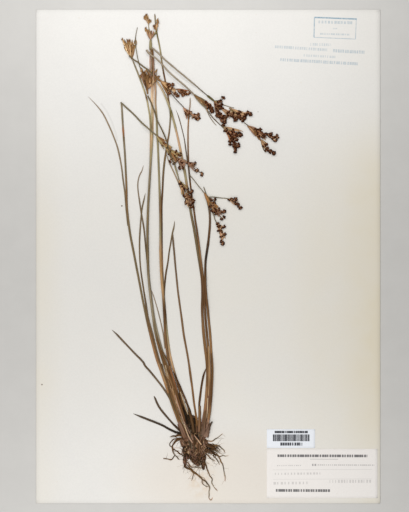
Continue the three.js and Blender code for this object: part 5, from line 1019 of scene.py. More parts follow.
def add_head(heap, rng, place, out, lie, pale, big=1.0):
    """A head of three or four florets fanned out from its foot, with husks round it. place is its middle."""
    count = int(rng.choice([3, 3, 4]))
    heading = math.atan2(out[1], out[0])
    turns = (np.arange(count) - (count - 1) / 2) * math.radians(rng.uniform(48, 66))
    light = pale + rng.beta(1, 2.2) * 0.8
    for k, turn in enumerate(turns):
        scale = big * rng.uniform(0.8, 1.04)
        lift = rng.uniform(0.05, 0.3) + (0.3 if abs(turn) < 0.5 else 0)
        angle = heading + turn + rng.uniform(-0.2, 0.2)
        aim = unit(np.array([math.cos(angle), math.sin(angle), lift]))
        radius = size("capsule_width") * scale / 2
        base = np.array([place[0], place[1], lie + radius + 0.25 * (k % 2)])
        base[:2] -= np.array([math.cos(heading), math.sin(heading)]) * 0.85 * big
        add_floret(heap, rng, base, aim, scale, min(1, max(0, pale + rng.uniform(-0.18, 0.18))), light)
    for _ in range(HUSKS_ROUND_HEAD):
        angle = heading + rng.normal(0, 0.9)
        ahead = np.array([math.cos(angle), math.sin(angle), 0.1])
        start = np.array([place[0], place[1], lie + rng.uniform(0.9, 1.8)]) - ahead * rng.uniform(0.9, 1.5)
        along = np.array([0, 0.3, 0.65, 1])
        tint = mixed("scale", "bract", light + rng.uniform(-0.2, 0.6)) * np.array([1, 1.1, 1, 0.7])[:, None]
        loops = pressed_loops(np.array([0.35, 0.62, 0.52, 0.12]), np.full(4, 0.16), 6)
        sweep(heap, rng, start + ahead * (along[:, None] * rng.uniform(1.2, 2.2)), loops, tint, SCALE_SLOT)


BRUSH = {"strands": 6, "long": (2.4, 4.4), "wide": (0.5, 1.05), "spread": 0.22}
BRUSH_RINGS = np.array([(0, 0.35), (0.2, 0.8), (0.45, 1.0), (0.7, 0.95), (0.88, 0.6), (1, 0.12)])


def add_brush(heap, rng, place, out, lie, pale):
    """A head of slender, dry, split florets that all point away from the panicle's foot."""
    heading = math.atan2(out[1], out[0])
    share, breadth = BRUSH_RINGS.T
    for _ in range(BRUSH["strands"]):
        angle = heading + rng.normal(0, BRUSH["spread"])
        aim = np.array([math.cos(angle), math.sin(angle), rng.uniform(0, 0.12)])
        long = rng.uniform(*BRUSH["long"])
        start = np.array([place[0], place[1], lie + rng.uniform(0.25, 0.95)])
        start[:2] += rng.normal(0, 0.4, 2) - aim[:2] * long * 0.62
        wide = rng.uniform(*BRUSH["wide"]) * breadth
        body = mixed("golden", "warm_brown", rng.uniform(-0.2, 1) + 1.2 * (0.72 - pale))
        tip = mixed("warm_brown", "capsule", rng.uniform(0, 1.2))
        tints = body + (tip - body) * np.interp(share, [0, 0.5, 1], [0, 0.12, 1])[:, None]
        sweep(heap, rng, start + aim * (share[:, None] * long), pressed_loops(wide, wide * 0.6, 7, 0.1),
              tints, SCALE_SLOT)
    if rng.uniform() < 0.9 - pale:
        base = np.array([place[0], place[1], lie + 0.8]) - unit(np.append(out, 0)) * 1.2
        aim = unit(np.array([*out, 0.1]))
        add_floret(heap, rng, base, aim, rng.uniform(0.6, 0.85), pale * 0.6, pale)


def add_bract(heap, rng, route, width, tint, lie):
    """A narrow husk that tapers to a point."""
    line = smooth_line(route, 0.6)
    along = np.linspace(0, 1, len(line))
    wide = width * np.interp(along, [0, 0.12, 0.45, 1], [0.55, 0.95, 0.9, 0.1])
    arch = 0.3 + 0.25 * np.sin(math.pi * along)
    right = np.full(len(line), 0.1)
    sections = husk_loops(wide, arch + 0.2, 0.1, right, math.pi - right, 0.04)
    tints = hue(tint) * np.interp(along, [0, 0.5, 1], [0.8, 1.1, 0.75])[:, None]
    height = lie(line) + 0.15
    sweep(heap, rng, np.column_stack([line, height]), sections, tints, STALK_SLOT)


FAN_LIFT = np.array([1.13, 1.03, 0.92])


def add_fan(heap, rng, corners, count, width, tints, lie):
    """Thin dry bracts that fan out from the foot of a fork to the places between a first and a last tip."""
    foot, first, last = points_of(corners)
    for k in range(count):
        share = (k + rng.uniform(-0.3, 0.3)) / max(1, count - 1)
        arm = (first + (last - first) * share - foot) * rng.uniform(0.72, 1.05)
        bend = np.array([-arm[1], arm[0]]) * rng.normal(0, 0.03)
        start = foot + arm * rng.uniform(0, 0.12)
        along = np.linspace(0, 1, max(5, int(np.linalg.norm(arm) / 0.7)))
        line = start + arm * along[:, None] + bend * np.sin(math.pi * along)[:, None]
        wide = width * rng.uniform(0.7, 1.3) * np.interp(along, [0, 0.25, 0.8, 1], [0.5, 0.9, 1, 0.3])
        tint = FAN_LIFT * hue(str(rng.choice(tints.split()))) * rng.uniform(0.85, 1.25)
        lift = lie(line) + rng.uniform(0.05, 1.5)
        sweep(heap, rng, np.column_stack([line, lift]), pressed_loops(wide, np.full(len(line), 0.16), 6),
              tint * np.interp(along, [0, 0.4, 1], [0.8, 1.1, 0.85])[:, None])


def make_panicle(node):
    """A panicle with the folded end of its culm, its stalks, bracts and heads, in place of its solid."""
    leg, stalks, heads = PANICLES[node]
    rng = draws(node)
    tree = tree_of(node)
    heap = Heap()
    leg_tint, stalk_tint, others = STALK_TINTS[node]
    stalks = [points_of(stalk) for stalk in stalks.split(";")]
    laid = []
    for k, route in enumerate(stalks):
        if k > 0 and nearest_on(laid, *route[0])[0] < STALK["join"]:
            route[0] = nearest_on(laid, *route[0])[1][:2]
        line = nudge(smooth_line(route, STALK["step"]), rng, STALK["bends"], STALK["waver"])
        along = np.linspace(0, 1, len(line))
        own = size("stalk_width")
        foot_width = leg if k == 0 and leg > STALK["thin"] else own
        width = np.interp(along, [0, 0.55, 0.75, 1], [foot_width, foot_width * 0.92, own, own * STALK["tip"]])
        width *= 1 + wander(rng, len(line), 8, 0.05)
        height = np.minimum(width, STALK["height"])
        sides = STALK["leg_sides"] if k == 0 else STALK["sides"]
        sections = pressed_loops(width, height, sides, STALK["groove"])
        placed = np.column_stack([line, feet(tree, line) + height / 2])
        tint = others.get(k, stalk_tint)
        first = leg_tint if k == 0 else tint
        tints = blend_tints(((0, first), (0.55, first), (0.75, tint)), along)[:, None, :]
        # Painted shade on the sides of each stalk, strongest on its right
        sweep(heap, rng, placed, sections, tints * painted_side_shade(sections, STALK["edge"]))
        if k > 0 and len(line) > 5:
            at = nearest_on(laid, *line[0])[1]
            short = [line[0], line[min(3, len(line) - 1)]]
            add_bract(heap, rng, [short[0], (short[0] + short[1]) / 2, short[1]], 0.95, "tan",
                      lambda flat, z=at[2]: np.full(len(flat), z))
        laid.append(placed)
    if node in BRACTS:
        route, width, tint = BRACTS[node]
        add_bract(heap, rng, points_of(route), width, tint, lambda flat: feet(tree, flat))
    for fan in FANS.get(node, ()):
        add_fan(heap, rng, *fan, lambda flat: feet(tree, flat))
    pale = PALE_HEADS.get(node, PALE_REST)
    brushed = pale >= BRUSHED
    for x, y in points_of(heads):
        gap, root, run = nearest_on(laid, x, y)
        out = run[:2] if gap < 0.45 else np.array([x - root[0], y - root[1]]) / gap
        low = foot_at(tree, x, y)
        low = root[2] - 0.35 if math.isnan(low) else low - SETTLE
        if brushed:
            away = unit(np.array([x, y]) - stalks[0][0])
            add_brush(heap, rng, (x, y), away, low, pale)
        else:
            add_head(heap, rng, (x, y), out, low, pale, HEAD_SIZES.get(node, 1.0))
    finishes = [plant_finish("culm"), plant_finish("capsule"), plant_finish("scale")]
    heap.make(node.replace("panicle", "cluster"), finishes, slot=SLOTS[node], replaces=node)


# Crown: lumps of old tissue, the dark bases of the shoots, and loose fibres

CROWN_LUMPS = (  # middle, half sizes, height, turn
    ((-10.5, -160), (10.4, 8.6), 2.5, 0),
    ((-8.2, -169.6), (6.5, 8.2), 2.2, -0.1),
    ((-17.6, -164.5), (4, 7.4), 2.3, 0.12),
    ((-19.7, -173.4), (1.7, 4.4), 1.6, 0.05),
    ((-20.6, -158.5), (3, 6), 1.8, 0.35),
    ((-12.2, -169.8), (3.2, 4.6), 1.8, 0.1),
    ((1.4, -160.8), (4.6, 2), 1.6, -0.15),
    ((0.4, -165), (4.6, 2.2), 1.4, -0.3),
    ((-4.3, -177.2), (1.5, 4), 1.3, 0.1),
    ((-14.4, -153.5), (3.2, 5), 2.9, 0.1),
    ((-7.6, -153), (3, 5.4), 2.9, -0.05),
)
# Hollows in the crown, middle and reach: the mound dips there, and its colour there is darkened as painted
# shade
CROWN_HOLES = (((-18.8, -169.2), 1.4), ((-16, -168.8), 1.0))
CROWN_TINTS = ((0, "near_black"), (0.24, "umber"), (0.52, "crown"), (0.9, "mauve"), (1.1, "pink_tan"))
CROWN_SHADES = (  # places that are darker or lighter than the rest: middle, reach, by how much
    ((-10.5, -160.5), 6, 0.16), ((-20, -170), 5, -0.26), ((-13, -147), 8, -0.35), ((-5, -175), 4.5, -0.26),
    ((3, -163), 5, -0.34), ((-17, -158), 4, 0.1), ((-14.4, -170), 1.8, 0.5), ((-6, -166), 3, -0.12),
)
LUMP_ROWS, LUMP_SIDES = 18, 60
SHOOTS = 16
STREAKS = (  # dry strips over the feet of the shoots: route, width, colour
    ("-20.2,-141.8 -23.4,-136.4 -26.6,-131", 0.8, "straw"),
    ("-21.4,-139 -24.8,-131.4 -28,-123", 0.7, "pale_tan"),
    ("-24.8,-143.4 -22.4,-149 -18.4,-156.8", 1.7, "crown"),
    ("-23.4,-143 -20.8,-148.6 -16.6,-156.4", 1.7, "crown"),
    ("-22,-142.6 -19.2,-148.6 -15,-157.6", 1.6, "purple_brown"),
    ("-25.4,-142.2 -23.8,-147.4 -20.6,-154.6", 1.5, "purple_brown"),
    ("-22.8,-145.4 -19.8,-151.8 -16.2,-157.6", 0.7, "pink_tan"),
    ("-21.2,-142 -18.8,-148.2 -14.8,-156", 1, "straw"),
    ("-19.3,-142 -16,-148.4 -12.8,-155.4", 1.5, "mauve"),
    ("-11.8,-136.6 -11.6,-139.4 -11,-142.4", 2, "near_black"),
    ("-6.4,-143.6 -6.1,-145.6 -5.9,-147.6", 1.4, "near_black"),
    ("-9.6,-151 -8.6,-153 -7.4,-155", 1.9, "near_black"),
    ("-12.8,-151.3 -10.8,-150.1 -8.6,-150.6", 0.55, "tan"),
    ("1.6,-147.4 0.2,-141 -0.4,-134.6", 0.9, "pink_tan"),
    ("-4.6,-153 -4.2,-146.6 -3.2,-141", 1, "pink_tan"),
    ("-2.4,-154.2 -1.6,-148 -0.4,-141.4", 1.7, "mauve"),
    ("-4,-154.6 -3.2,-148 -2.4,-140", 1.4, "purple_brown"),
    ("-0.4,-153.2 0.8,-148 2,-142.4", 1.5, "mauve"),
    ("-5.4,-153.4 -5.6,-148 -5.4,-142", 1, "grey_brown"),
    ("-8.2,-149.6 -7.8,-143 -7.4,-137", 0.8, "pink_tan"),
    ("-9,-158.6 -8.2,-154 -7.4,-150", 1, "warm_brown"),
    ("-12.2,-160 -12.8,-155 -13.6,-150.4", 1, "warm_brown"),
    ("-10.6,-161 -10.4,-156.4 -10.2,-152", 0.9, "tan"),
)
# Scraps of old sheaths and fibres: middle and half sizes of where they lie, number, heading in degrees,
# length and colours
SCRAPS = (
    ((-13, -143), (3.6, 7), 90, 103, 2.6, "near_black umber near_black dark_brown grey_brown"),
    ((-19.5, -150.5), (3.4, 6.5), 20, 118, 3, "mauve purple_brown pink_tan umber"),
    ((-3.6, -146.4), (4.6, 7), 54, 84, 3, "mauve grey_brown purple_brown pink_tan bract umber"),
    ((-11.4, -138.6), (1.8, 3.6), 26, 100, 2.4, "mauve bract brown umber"),
    ((-10.4, -161.5), (9.6, 8.6), 300, 95, 1.7, "crown mauve dark_brown umber near_black bract"),
    ((-8.8, -170.5), (6.6, 6.8), 120, 85, 1.9, "crown purple_brown dark_brown umber near_black"),
    ((-19.4, -168.5), (2.4, 7.5), 44, 95, 2.1, "dark_brown umber purple_brown near_black"),
    ((-9.6, -148.6), (4.4, 6.6), 70, 95, 2.8, "near_black umber near_black grey_brown"),
    ((1.6, -161.6), (4.4, 3.6), 26, -22, 6, "umber dark_brown grey_brown near_black"),
)


def add_lump(heap, middle, reach, height, turn):
    """A flattened dome, roughened along the grain of the shoots, with a flat underside on the sheet. It dips
    at the crown's hollows, and its colour there is painted darker, as shade.
    """
    polar = np.linspace(0, math.pi / 2, LUMP_ROWS + 1)
    around = np.linspace(0, 2 * math.pi, LUMP_SIDES, endpoint=False)
    places, tints = [], []
    for row, tilt in enumerate(polar):
        for angle in around if row else around[:1]:
            x = math.sin(tilt) * math.cos(angle) * reach[0]
            y = math.sin(tilt) * math.sin(angle) * reach[1]
            here = (middle[0] + x * math.cos(turn) - y * math.sin(turn),
                    middle[1] + x * math.sin(turn) + y * math.cos(turn))
            rough = noise.fractal(Vector((here[0] / 1.15, here[1] / 4.2, tilt)), 0.7, 2.2, 5)
            swell = 1 + 0.14 * rough
            z = math.cos(tilt) * height * (1 + 0.22 * rough) + 0.3 * abs(rough) * math.sin(tilt)
            # dark is how near a hollow is: it lowers the surface and paints the shade in it
            dark = 0.0
            for hole, wide in CROWN_HOLES:
                dark = max(dark, math.exp(-(math.dist(here, hole) / wide) ** 2))
            z = max(0.0, z - 1.9 * dark)
            places.append((middle[0] + (here[0] - middle[0]) * swell,
                           middle[1] + (here[1] - middle[1]) * swell, LIE + z))
            mottle = 0.45 + 0.3 * rough + 0.4 * noise.noise(Vector((here[0] / 1.6, here[1] / 1.6, 3)))
            for at, wide, change in CROWN_SHADES:
                mottle += change * math.exp(-(math.dist(here, at) / wide) ** 2)
            # In the hollows the colour is painted near black, as shade
            tints.append(blend_tints(CROWN_TINTS, [mottle])[0] * (1 - 0.85 * dark))
    places.append((middle[0], middle[1], LIE))
    tints.append(hue("umber"))
    faces = [[0, 1 + s, 1 + (s + 1) % LUMP_SIDES] for s in range(LUMP_SIDES)]
    for row in range(LUMP_ROWS - 1):
        a = 1 + row * LUMP_SIDES
        for s in range(LUMP_SIDES):
            k = (s + 1) % LUMP_SIDES
            faces.append([a + s, a + LUMP_SIDES + s, a + LUMP_SIDES + k, a + k])
    rim = 1 + (LUMP_ROWS - 1) * LUMP_SIDES
    faces += [[len(places) - 1, rim + (s + 1) % LUMP_SIDES, rim + s] for s in range(LUMP_SIDES)]
    points = np.array(places)
    heap.add(points, faces, np.array(tints), points)


def add_strand(heap, rng, line, lie, widths, tint, sides=6, groove=0.0):
    """A thin strand that lies at some heights and tapers to its tip."""
    along = np.linspace(0, 1, len(line))
    width = np.interp(along, [0, 0.7, 1], [widths[0], (widths[0] + widths[1]) / 2, widths[1]])
    width = width * (1 + wander(rng, len(line), 5, 0.1))
    height = width * 0.7
    sections = pressed_loops(width, height, sides, groove)
    sweep(heap, rng, np.column_stack([line, lie + height / 2]), sections, tint)


def stray_line(rng, start, heading, reach, bend, step=0.6):
    """A line that wanders off from a place."""
    count = max(5, int(reach / step))
    headings = heading + wander(rng, count, 5, bend) + np.linspace(0, rng.normal(0, 0.7), count)
    moves = np.column_stack([np.cos(headings), np.sin(headings)]) * step
    return np.asarray(start) + np.vstack([np.zeros((1, 2)), np.cumsum(moves, axis=0)])


def make_crown():
    """The crown and what lies on it. Gives back the mound, for the roots to leave from."""
    rng = draws("crown")
    heap = Heap()
    for lump in CROWN_LUMPS:
        add_lump(heap, *lump)
    mound = BVHTree.FromPolygons(np.vstack(heap.points).tolist(), heap.faces)
    heap.make("root_mound", [plant_finish("crown")], slot="root_crown", replaces="root_crown")

    pile = tree_of("root_crown", *nodes_of("stem"))
    make_shoots(rng, pile, mound)
    make_scraps(rng, pile, mound)
    return mound


def make_shoots(rng, pile, mound):
    """The dark feet of the shoots on the crown, and the dry strips over them."""
    shoots = Heap()
    for k in range(SHOOTS):
        x = -17 + 12.5 * (k + rng.uniform(-0.3, 0.3)) / (SHOOTS - 1)
        top = rng.uniform(-144, -135) - 0.09 * (x + 11) ** 2
        foot = (-10.8 + (x + 11) * 0.7, rng.uniform(-166, -157))
        route = [(x, top), (x * 0.97 - 0.3, (top - 160) / 2), foot]
        line = nudge(smooth_line(route, 0.7), rng, 7, 0.2)
        lie = tops(line, pile, mound)
        tint = mixed("umber", str(rng.choice(["dark_brown", "grey_brown", "crown"])), rng.uniform(0.1, 1))
        widths = (rng.uniform(1.2, 1.9), 0.5)
        add_strand(shoots, rng, line[::-1], soften(lie, 4)[::-1] - 0.35, widths, tint, 12, 0.12)
    for route, width, tint in STREAKS:
        line = smooth_line(points_of(route), 0.7)
        lie = tops(line, pile, mound)
        add_strand(shoots, rng, line, soften(lie, 3) - 0.1, (width, width * 0.6), hue(tint), 8, 0.1)
    shoots.make("shoot_bases", [plant_finish("husk")], slot="root_crown")


def make_scraps(rng, pile, mound):
    """Loose scraps of old sheaths and fibres on the crown."""
    scraps = Heap()
    for middle, reach, count, heading, long, tints in SCRAPS:
        for _ in range(count):
            angle, far = rng.uniform(0, 2 * math.pi), math.sqrt(rng.uniform(0, 1))
            start = (
                middle[0] + reach[0] * far * math.cos(angle),
                middle[1] + reach[1] * far * math.sin(angle),
            )
            turn = math.radians(heading + rng.normal(0, 24))
            line = stray_line(rng, start, turn, long * rng.uniform(0.5, 1.5), 0.2, 0.5)
            lie = tops(line, pile, mound)
            width = rng.uniform(0.45, 1.15)
            tint = hue(str(rng.choice(tints.split()))) * rng.uniform(0.75, 1.15)
            add_strand(scraps, rng, line, soften(lie, 2) - 0.3 * width - 0.05, (width, width * 0.5), tint, 6)
    scraps.make("loose_scraps", [plant_finish("husk")], slot="root_crown")


# Loose strands over the culms and the panicles' legs

def make_strands():
    """Dry strands, each over the highest of what it crosses."""
    rng = draws("strands")
    pile = tree_of(*nodes_of("stem"), "panicle_middle", "panicle_brown")
    heap = Heap()
    for route, width, tint in STRANDS:
        line = smooth_line(points_of(route), 0.8)
        lie = crest(tops(line, pile), 2)
        add_strand(heap, rng, line, soften(lie, 3) - 0.12, (width, width * 0.7), hue(tint), 8, 0.1)
    heap.make("culm_strands", [plant_finish("husk")], slot="stem")


# Roots: the thick ones along their routes, their branches, and fine rootlets that leave the crown

ROOT = {"step": 0.5, "bends": 7, "waver": 0.28, "sides": 9, "groove": 0.05, "flat": 0.7, "square": 2.2}
RIM = {"middle": (-9.5, -164), "reach": (12.5, 12.5)}  # where rootlets leave the crown
TUFTS = (  # middle, heading in degrees, rootlets, their length
    ((4, -163.5), -30, 10, 7), ((-3.6, -179), -80, 4, 5), ((-19.6, -176), -100, 4, 5),
    ((-24, -155), 185, 5, 7), ((-1, -155), 15, 4, 6), ((-9, -178), -95, 4, 6),
)


def make_roots(mound):
    """The thick roots with their branches, and the fine rootlets."""
    rng = draws("roots")
    thick, fine = Heap(), Heap()
    for foot, tip, route in ROOTS:
        route = points_of(route)
        line = nudge(smooth_line(route, ROOT["step"]), rng, ROOT["bends"], ROOT["waver"])
        along = np.linspace(0, 1, len(line))
        first = "umber" if foot > 1.1 else "dark_brown"
        if route[0][0] <= -20:
            rest = ("dark_brown", "dark_brown", "grey_brown", "grey_brown")
        else:
            rest = ("brown", "grey_brown", "bleached", "pink_tan")
        tints = blend_tints(((0, first), *zip((0.34, 0.58, 0.8, 1), rest)), along)
        tints = tints * (1 + wander(rng, len(line), 6, 0.12))[:, None]
        lie = np.full(len(line), LIE)
        width = np.interp(along, [0, 1], [foot, tip]) * (1 + wander(rng, len(line), 6, 0.1))
        width[-4:] *= (0.85, 0.65, 0.4, 0.15)
        height = width * ROOT["flat"]
        twist = wander(rng, len(line), 12, 0.4)
        sections = pressed_loops(width, height, ROOT["sides"], ROOT["groove"], twist, ROOT["square"])
        sweep(thick, rng, np.column_stack([line, lie + height / 2]), sections, tints)
        at = rng.uniform(1, 3)
        while at < (len(line) - 3) * ROOT["step"]:
            k = int(at / ROOT["step"])
            run = line[k + 1] - line[k]
            heading = math.atan2(run[1], run[0]) + rng.choice([-1, 1]) * rng.uniform(0.5, 1.3)
            add_rootlet(fine, rng, mound, line[k], heading, rng.uniform(2, 8), 0.75)
            at += rng.uniform(4, 11)
    thick.make("roots_thick", [plant_finish("root")], slot="root_crown")
    for _ in range(bpy.context.scene.rush_sizes.rootlets):
        angle = rng.uniform(-1.15 * math.pi, 0.15 * math.pi)
        towards = (math.cos(angle), math.sin(angle))
        start = [m + r * f for m, r, f in zip(RIM["middle"], RIM["reach"], towards)]
        inward = rng.uniform(0.7, 1)
        start = [m + (s - m) * inward for m, s in zip(RIM["middle"], start)]
        add_rootlet(fine, rng, mound, start, angle + rng.normal(0, 0.45), rng.uniform(4, 15), 1)
    for middle, heading, count, reach in TUFTS:
        for _ in range(count):
            start = np.array(middle) + rng.normal(0, 1.5, 2)
            turn = math.radians(heading + rng.normal(0, 34))
            add_rootlet(fine, rng, mound, start, turn, reach * rng.uniform(0.5, 1.3), 1.1, "umber")
    fine.make("rootlets", [plant_finish("root")], slot="root_crown")


def add_rootlet(heap, rng, mound, start, heading, reach, scale, shade=None):
    """A fine root that wanders off over the sheet."""
    line = stray_line(rng, start, heading, reach, 0.4)
    lie = soften(tops(line, mound), 2) - 0.03
    width = size("rootlet_width") * scale * rng.uniform(0.6, 1.3)
    names = ["grey_brown", "bleached", "bleached", "dark_brown", "pink_tan"]
    tint = hue(shade or str(rng.choice(names))) * rng.uniform(0.8, 1.1)
    add_strand(heap, rng, line, lie, (width, width * 0.35), tint, 5)


# Papers: stiff sheets with softened edges and corners, and a faint cockle

PAPERS = {  # piece, node, left, right, bottom, top, underside, face, cell, cockle
    "sheet": ("sheet_board", "mounting_sheet", -146.05, 146.05, -209.55, 209.55, 0.0, 0.6, 4, 0.07),
    "label": ("slip_large", "label", 49.6, 143.7, -205.0, -163.1, 0.61, 0.87, 2.5, 0.03),
    "slip": ("slip_small", "number_slip", 49.7, 90.7, -162.6, -146.4, 0.61, 0.87, 2, 0.03),
}


def make_paper(kind):
    """A sheet with a flat underside, a slightly waved face and worn edges, in place of its solid."""
    name, node, left, right, bottom, top, low, face, cell, cockle = PAPERS[kind]
    rng = draws(name)
    bevel = 0.14 * (face - low) / 0.26

    def ticks(a, b):
        count = max(3, round((b - a) / cell))
        return np.concatenate([[a], np.linspace(a + bevel, b - bevel, count), [b]])

    xs, ys = ticks(left, right), ticks(bottom, top)
    wide, high = len(xs), len(ys)
    gx, gy = np.meshgrid(xs, ys)
    rim = np.zeros(gx.shape, bool)
    rim[[0, -1]] = rim[:, [0, -1]] = True
    wave = np.array([noise.noise(Vector((x / 60, y / 60, 7))) for x, y in zip(gx.ravel(), gy.ravel())])
    upper = np.where(rim, (low + face) / 2, face - cockle * (0.5 + wave.reshape(gx.shape)).clip(0, 1))
    side_x, side_y = np.sign(gx - (left + right) / 2), np.sign(gy - (bottom + top) / 2)
    worn_x = gx - side_x * np.where(rim, rng.uniform(0, 0.07, gx.shape), 0)
    worn_y = gy - side_y * np.where(rim, rng.uniform(0, 0.07, gx.shape), 0)
    for corner in ((0, 0), (0, -1), (-1, 0), (-1, -1)):
        worn_x[corner] -= side_x[corner] * bevel * 1.2
        worn_y[corner] -= side_y[corner] * bevel * 1.2
    face_points = np.stack([worn_x, worn_y, upper], -1).reshape(-1, 3)
    inner = ~rim.ravel()
    under_points = np.stack([worn_x, worn_y, np.full(gx.shape, low)], -1).reshape(-1, 3)[inner]
    under = np.arange(wide * high)
    under[inner] = wide * high + np.arange(inner.sum())
    faces = []
    for row in range(high - 1):
        for column in range(wide - 1):
            a = row * wide + column
            square = [a, a + 1, a + wide + 1, a + wide]
            faces.append(square)
            faces.append([int(under[i]) for i in square[::-1]])
    heap = Heap()
    points = np.vstack([face_points, under_points])
    heap.add(points, faces, hue("paper"), points)
    heap.make(name, [paper_finish(kind)], slot=SLOTS[node], replaces=node)


# Shader nodes

def feed(tree, node, feeds):
    """Gives a node's sockets a value each, or the socket that feeds them."""
    for socket, value in feeds.items():
        if isinstance(value, bpy.types.NodeSocket):
            tree.links.new(value, node.inputs[socket])
        else:
            node.inputs[socket].default_value = value


def put(tree, kind, feeds=None, **settings):
    """Adds a node with its feeds and settings."""
    node = tree.nodes.new(kind)
    for name, value in settings.items():
        setattr(node, name, value)
    feed(tree, node, feeds or {})
    return node


def math_of(tree, operation, *values, clamp=False):
    feeds = dict(enumerate(values))
    return put(tree, "ShaderNodeMath", feeds, operation=operation, use_clamp=clamp).outputs[0]


def vector_of(tree, operation, *values):
    node = put(tree, "ShaderNodeVectorMath", dict(enumerate(values)), operation=operation)
    return node.outputs["Value" if operation in ("LENGTH", "DOT_PRODUCT", "DISTANCE") else "Vector"]


def scaled(tree, vector, amount):
    return put(tree, "ShaderNodeVectorMath", {0: vector, "Scale": amount}, operation="SCALE").outputs[0]


def spread(tree, value, low, high, new_low=0.0, new_high=1.0):
    """The value from low to high, taken to a new range, smoothly and no further."""
    feeds = {"Value": value, "From Min": low, "From Max": high, "To Min": new_low, "To Max": new_high}
    return put(tree, "ShaderNodeMapRange", feeds, interpolation_type="SMOOTHSTEP").outputs["Result"]


def mix_of(tree, share, first, second, way="MIX"):
    feeds = {0: share, 6: first, 7: second}
    return put(tree, "ShaderNodeMix", feeds, data_type="RGBA", blend_type=way, clamp_factor=True).outputs[2]


def noise_of(tree, place, fineness, detail=2.0, roughness=0.5, distortion=0.0):
    feeds = {"Vector": place, "Scale": fineness, "Detail": detail, "Roughness": roughness,
             "Distortion": distortion}
    return put(tree, "ShaderNodeTexNoise", feeds).outputs["Fac"]


def paint(name):
    """A named colour as a shader takes it."""
    return (*hue(name), 1.0)


def group(name, inputs, outputs, build):
    """A shared node group, built once. Sockets are (name, kind) pairs."""
    tree = bpy.data.node_groups.get(name)
    if tree is None:
        tree = bpy.data.node_groups.new(name, "ShaderNodeTree")
        for in_out, sockets in (("INPUT", inputs), ("OUTPUT", outputs)):
            for socket, kind in sockets:
                tree.interface.new_socket(name=socket, in_out=in_out, socket_type="NodeSocket" + kind)
        way_in = tree.nodes.new("NodeGroupInput")
        way_out = tree.nodes.new("NodeGroupOutput")
        for socket, source in build(tree, way_in.outputs).items():
            tree.links.new(source, way_out.inputs[socket])
    return tree


def dry_tissue():
    """Streaks along the grain, and darker and redder blotches, over a piece's own tint."""

    def build(tree, given):
        place = scaled(tree, given["Grain"], given["Fineness"])
        drawn = vector_of(tree, "MULTIPLY", place, (1.0, 1.0, 0.035))
        streak = noise_of(tree, drawn, 1.0, 3, 0.6)
        coarse = noise_of(tree, vector_of(tree, "MULTIPLY", place, (0.22, 0.22, 0.012)), 1.0, 2, 0.5)
        blotch = noise_of(tree, vector_of(tree, "MULTIPLY", place, (0.1, 0.1, 0.05)), 1.0, 4, 0.6)
        light = spread(tree, streak, 0.3, 0.7, -1.0, 1.0)
        light = math_of(tree, "MULTIPLY_ADD", light, given["Depth"], 1.0)
        broad = math_of(tree, "MULTIPLY_ADD", spread(tree, coarse, 0.3, 0.7, -0.6, 0.6), given["Depth"], 1.0)
        shade = math_of(tree, "MULTIPLY", light, broad)
        toned = scaled(tree, given["Tint"], shade)
        warm = vector_of(tree, "MULTIPLY", toned, (0.94, 0.8, 0.66))
        warmed = math_of(tree, "MULTIPLY", spread(tree, blotch, 0.48, 0.72), given["Warmth"])
        return {
            "Colour": mix_of(tree, warmed, toned, warm),
            "Streak": streak,
            "Height": math_of(tree, "ADD", streak, math_of(tree, "MULTIPLY", blotch, 0.8)),
        }

    inputs = (
        ("Grain", "Vector"), ("Tint", "Color"),
        ("Fineness", "Float"), ("Depth", "Float"), ("Warmth", "Float"),
    )
    return group("Dry tissue", inputs, (("Colour", "Color"), ("Streak", "Float"), ("Height", "Float")), build)


def paper_stock():
    """Paper with a faint mottle, short fibres and flecks."""

    def build(tree, given):
        place = given["Place"]
        cloud = noise_of(tree, place, 17.0, 4, 0.55)
        grain = noise_of(tree, place, 900.0, 3, 0.65)
        drawn = vector_of(tree, "MULTIPLY", place, (1.0, 0.16, 1.0))
        fibre = noise_of(tree, drawn, 1500.0, 2, 0.5, 0.6)
        fleck = noise_of(tree, place, 260.0, 1, 0.4)
        shade = math_of(
            tree, "ADD", spread(tree, cloud, 0.3, 0.7, 0.985, 1.012),
            spread(tree, grain, 0.3, 0.7, -0.018, 0.018),
        )
        toned = scaled(tree, given["Tone"], shade)
        darker = vector_of(tree, "MULTIPLY", toned, (0.9, 0.86, 0.79))
        flecks = spread(tree, fleck, 0.77, 0.83, 0.0, 0.35)
        return {
            "Colour": mix_of(tree, flecks, toned, darker),
            "Mottle": cloud,
            "Height": math_of(tree, "ADD", math_of(tree, "MULTIPLY", fibre, 0.7), grain),
        }

    inputs = (("Place", "Vector"), ("Tone", "Color"))
    outputs = (("Colour", "Color"), ("Mottle", "Float"), ("Height", "Float"))
    return group("Paper stock", inputs, outputs, build)


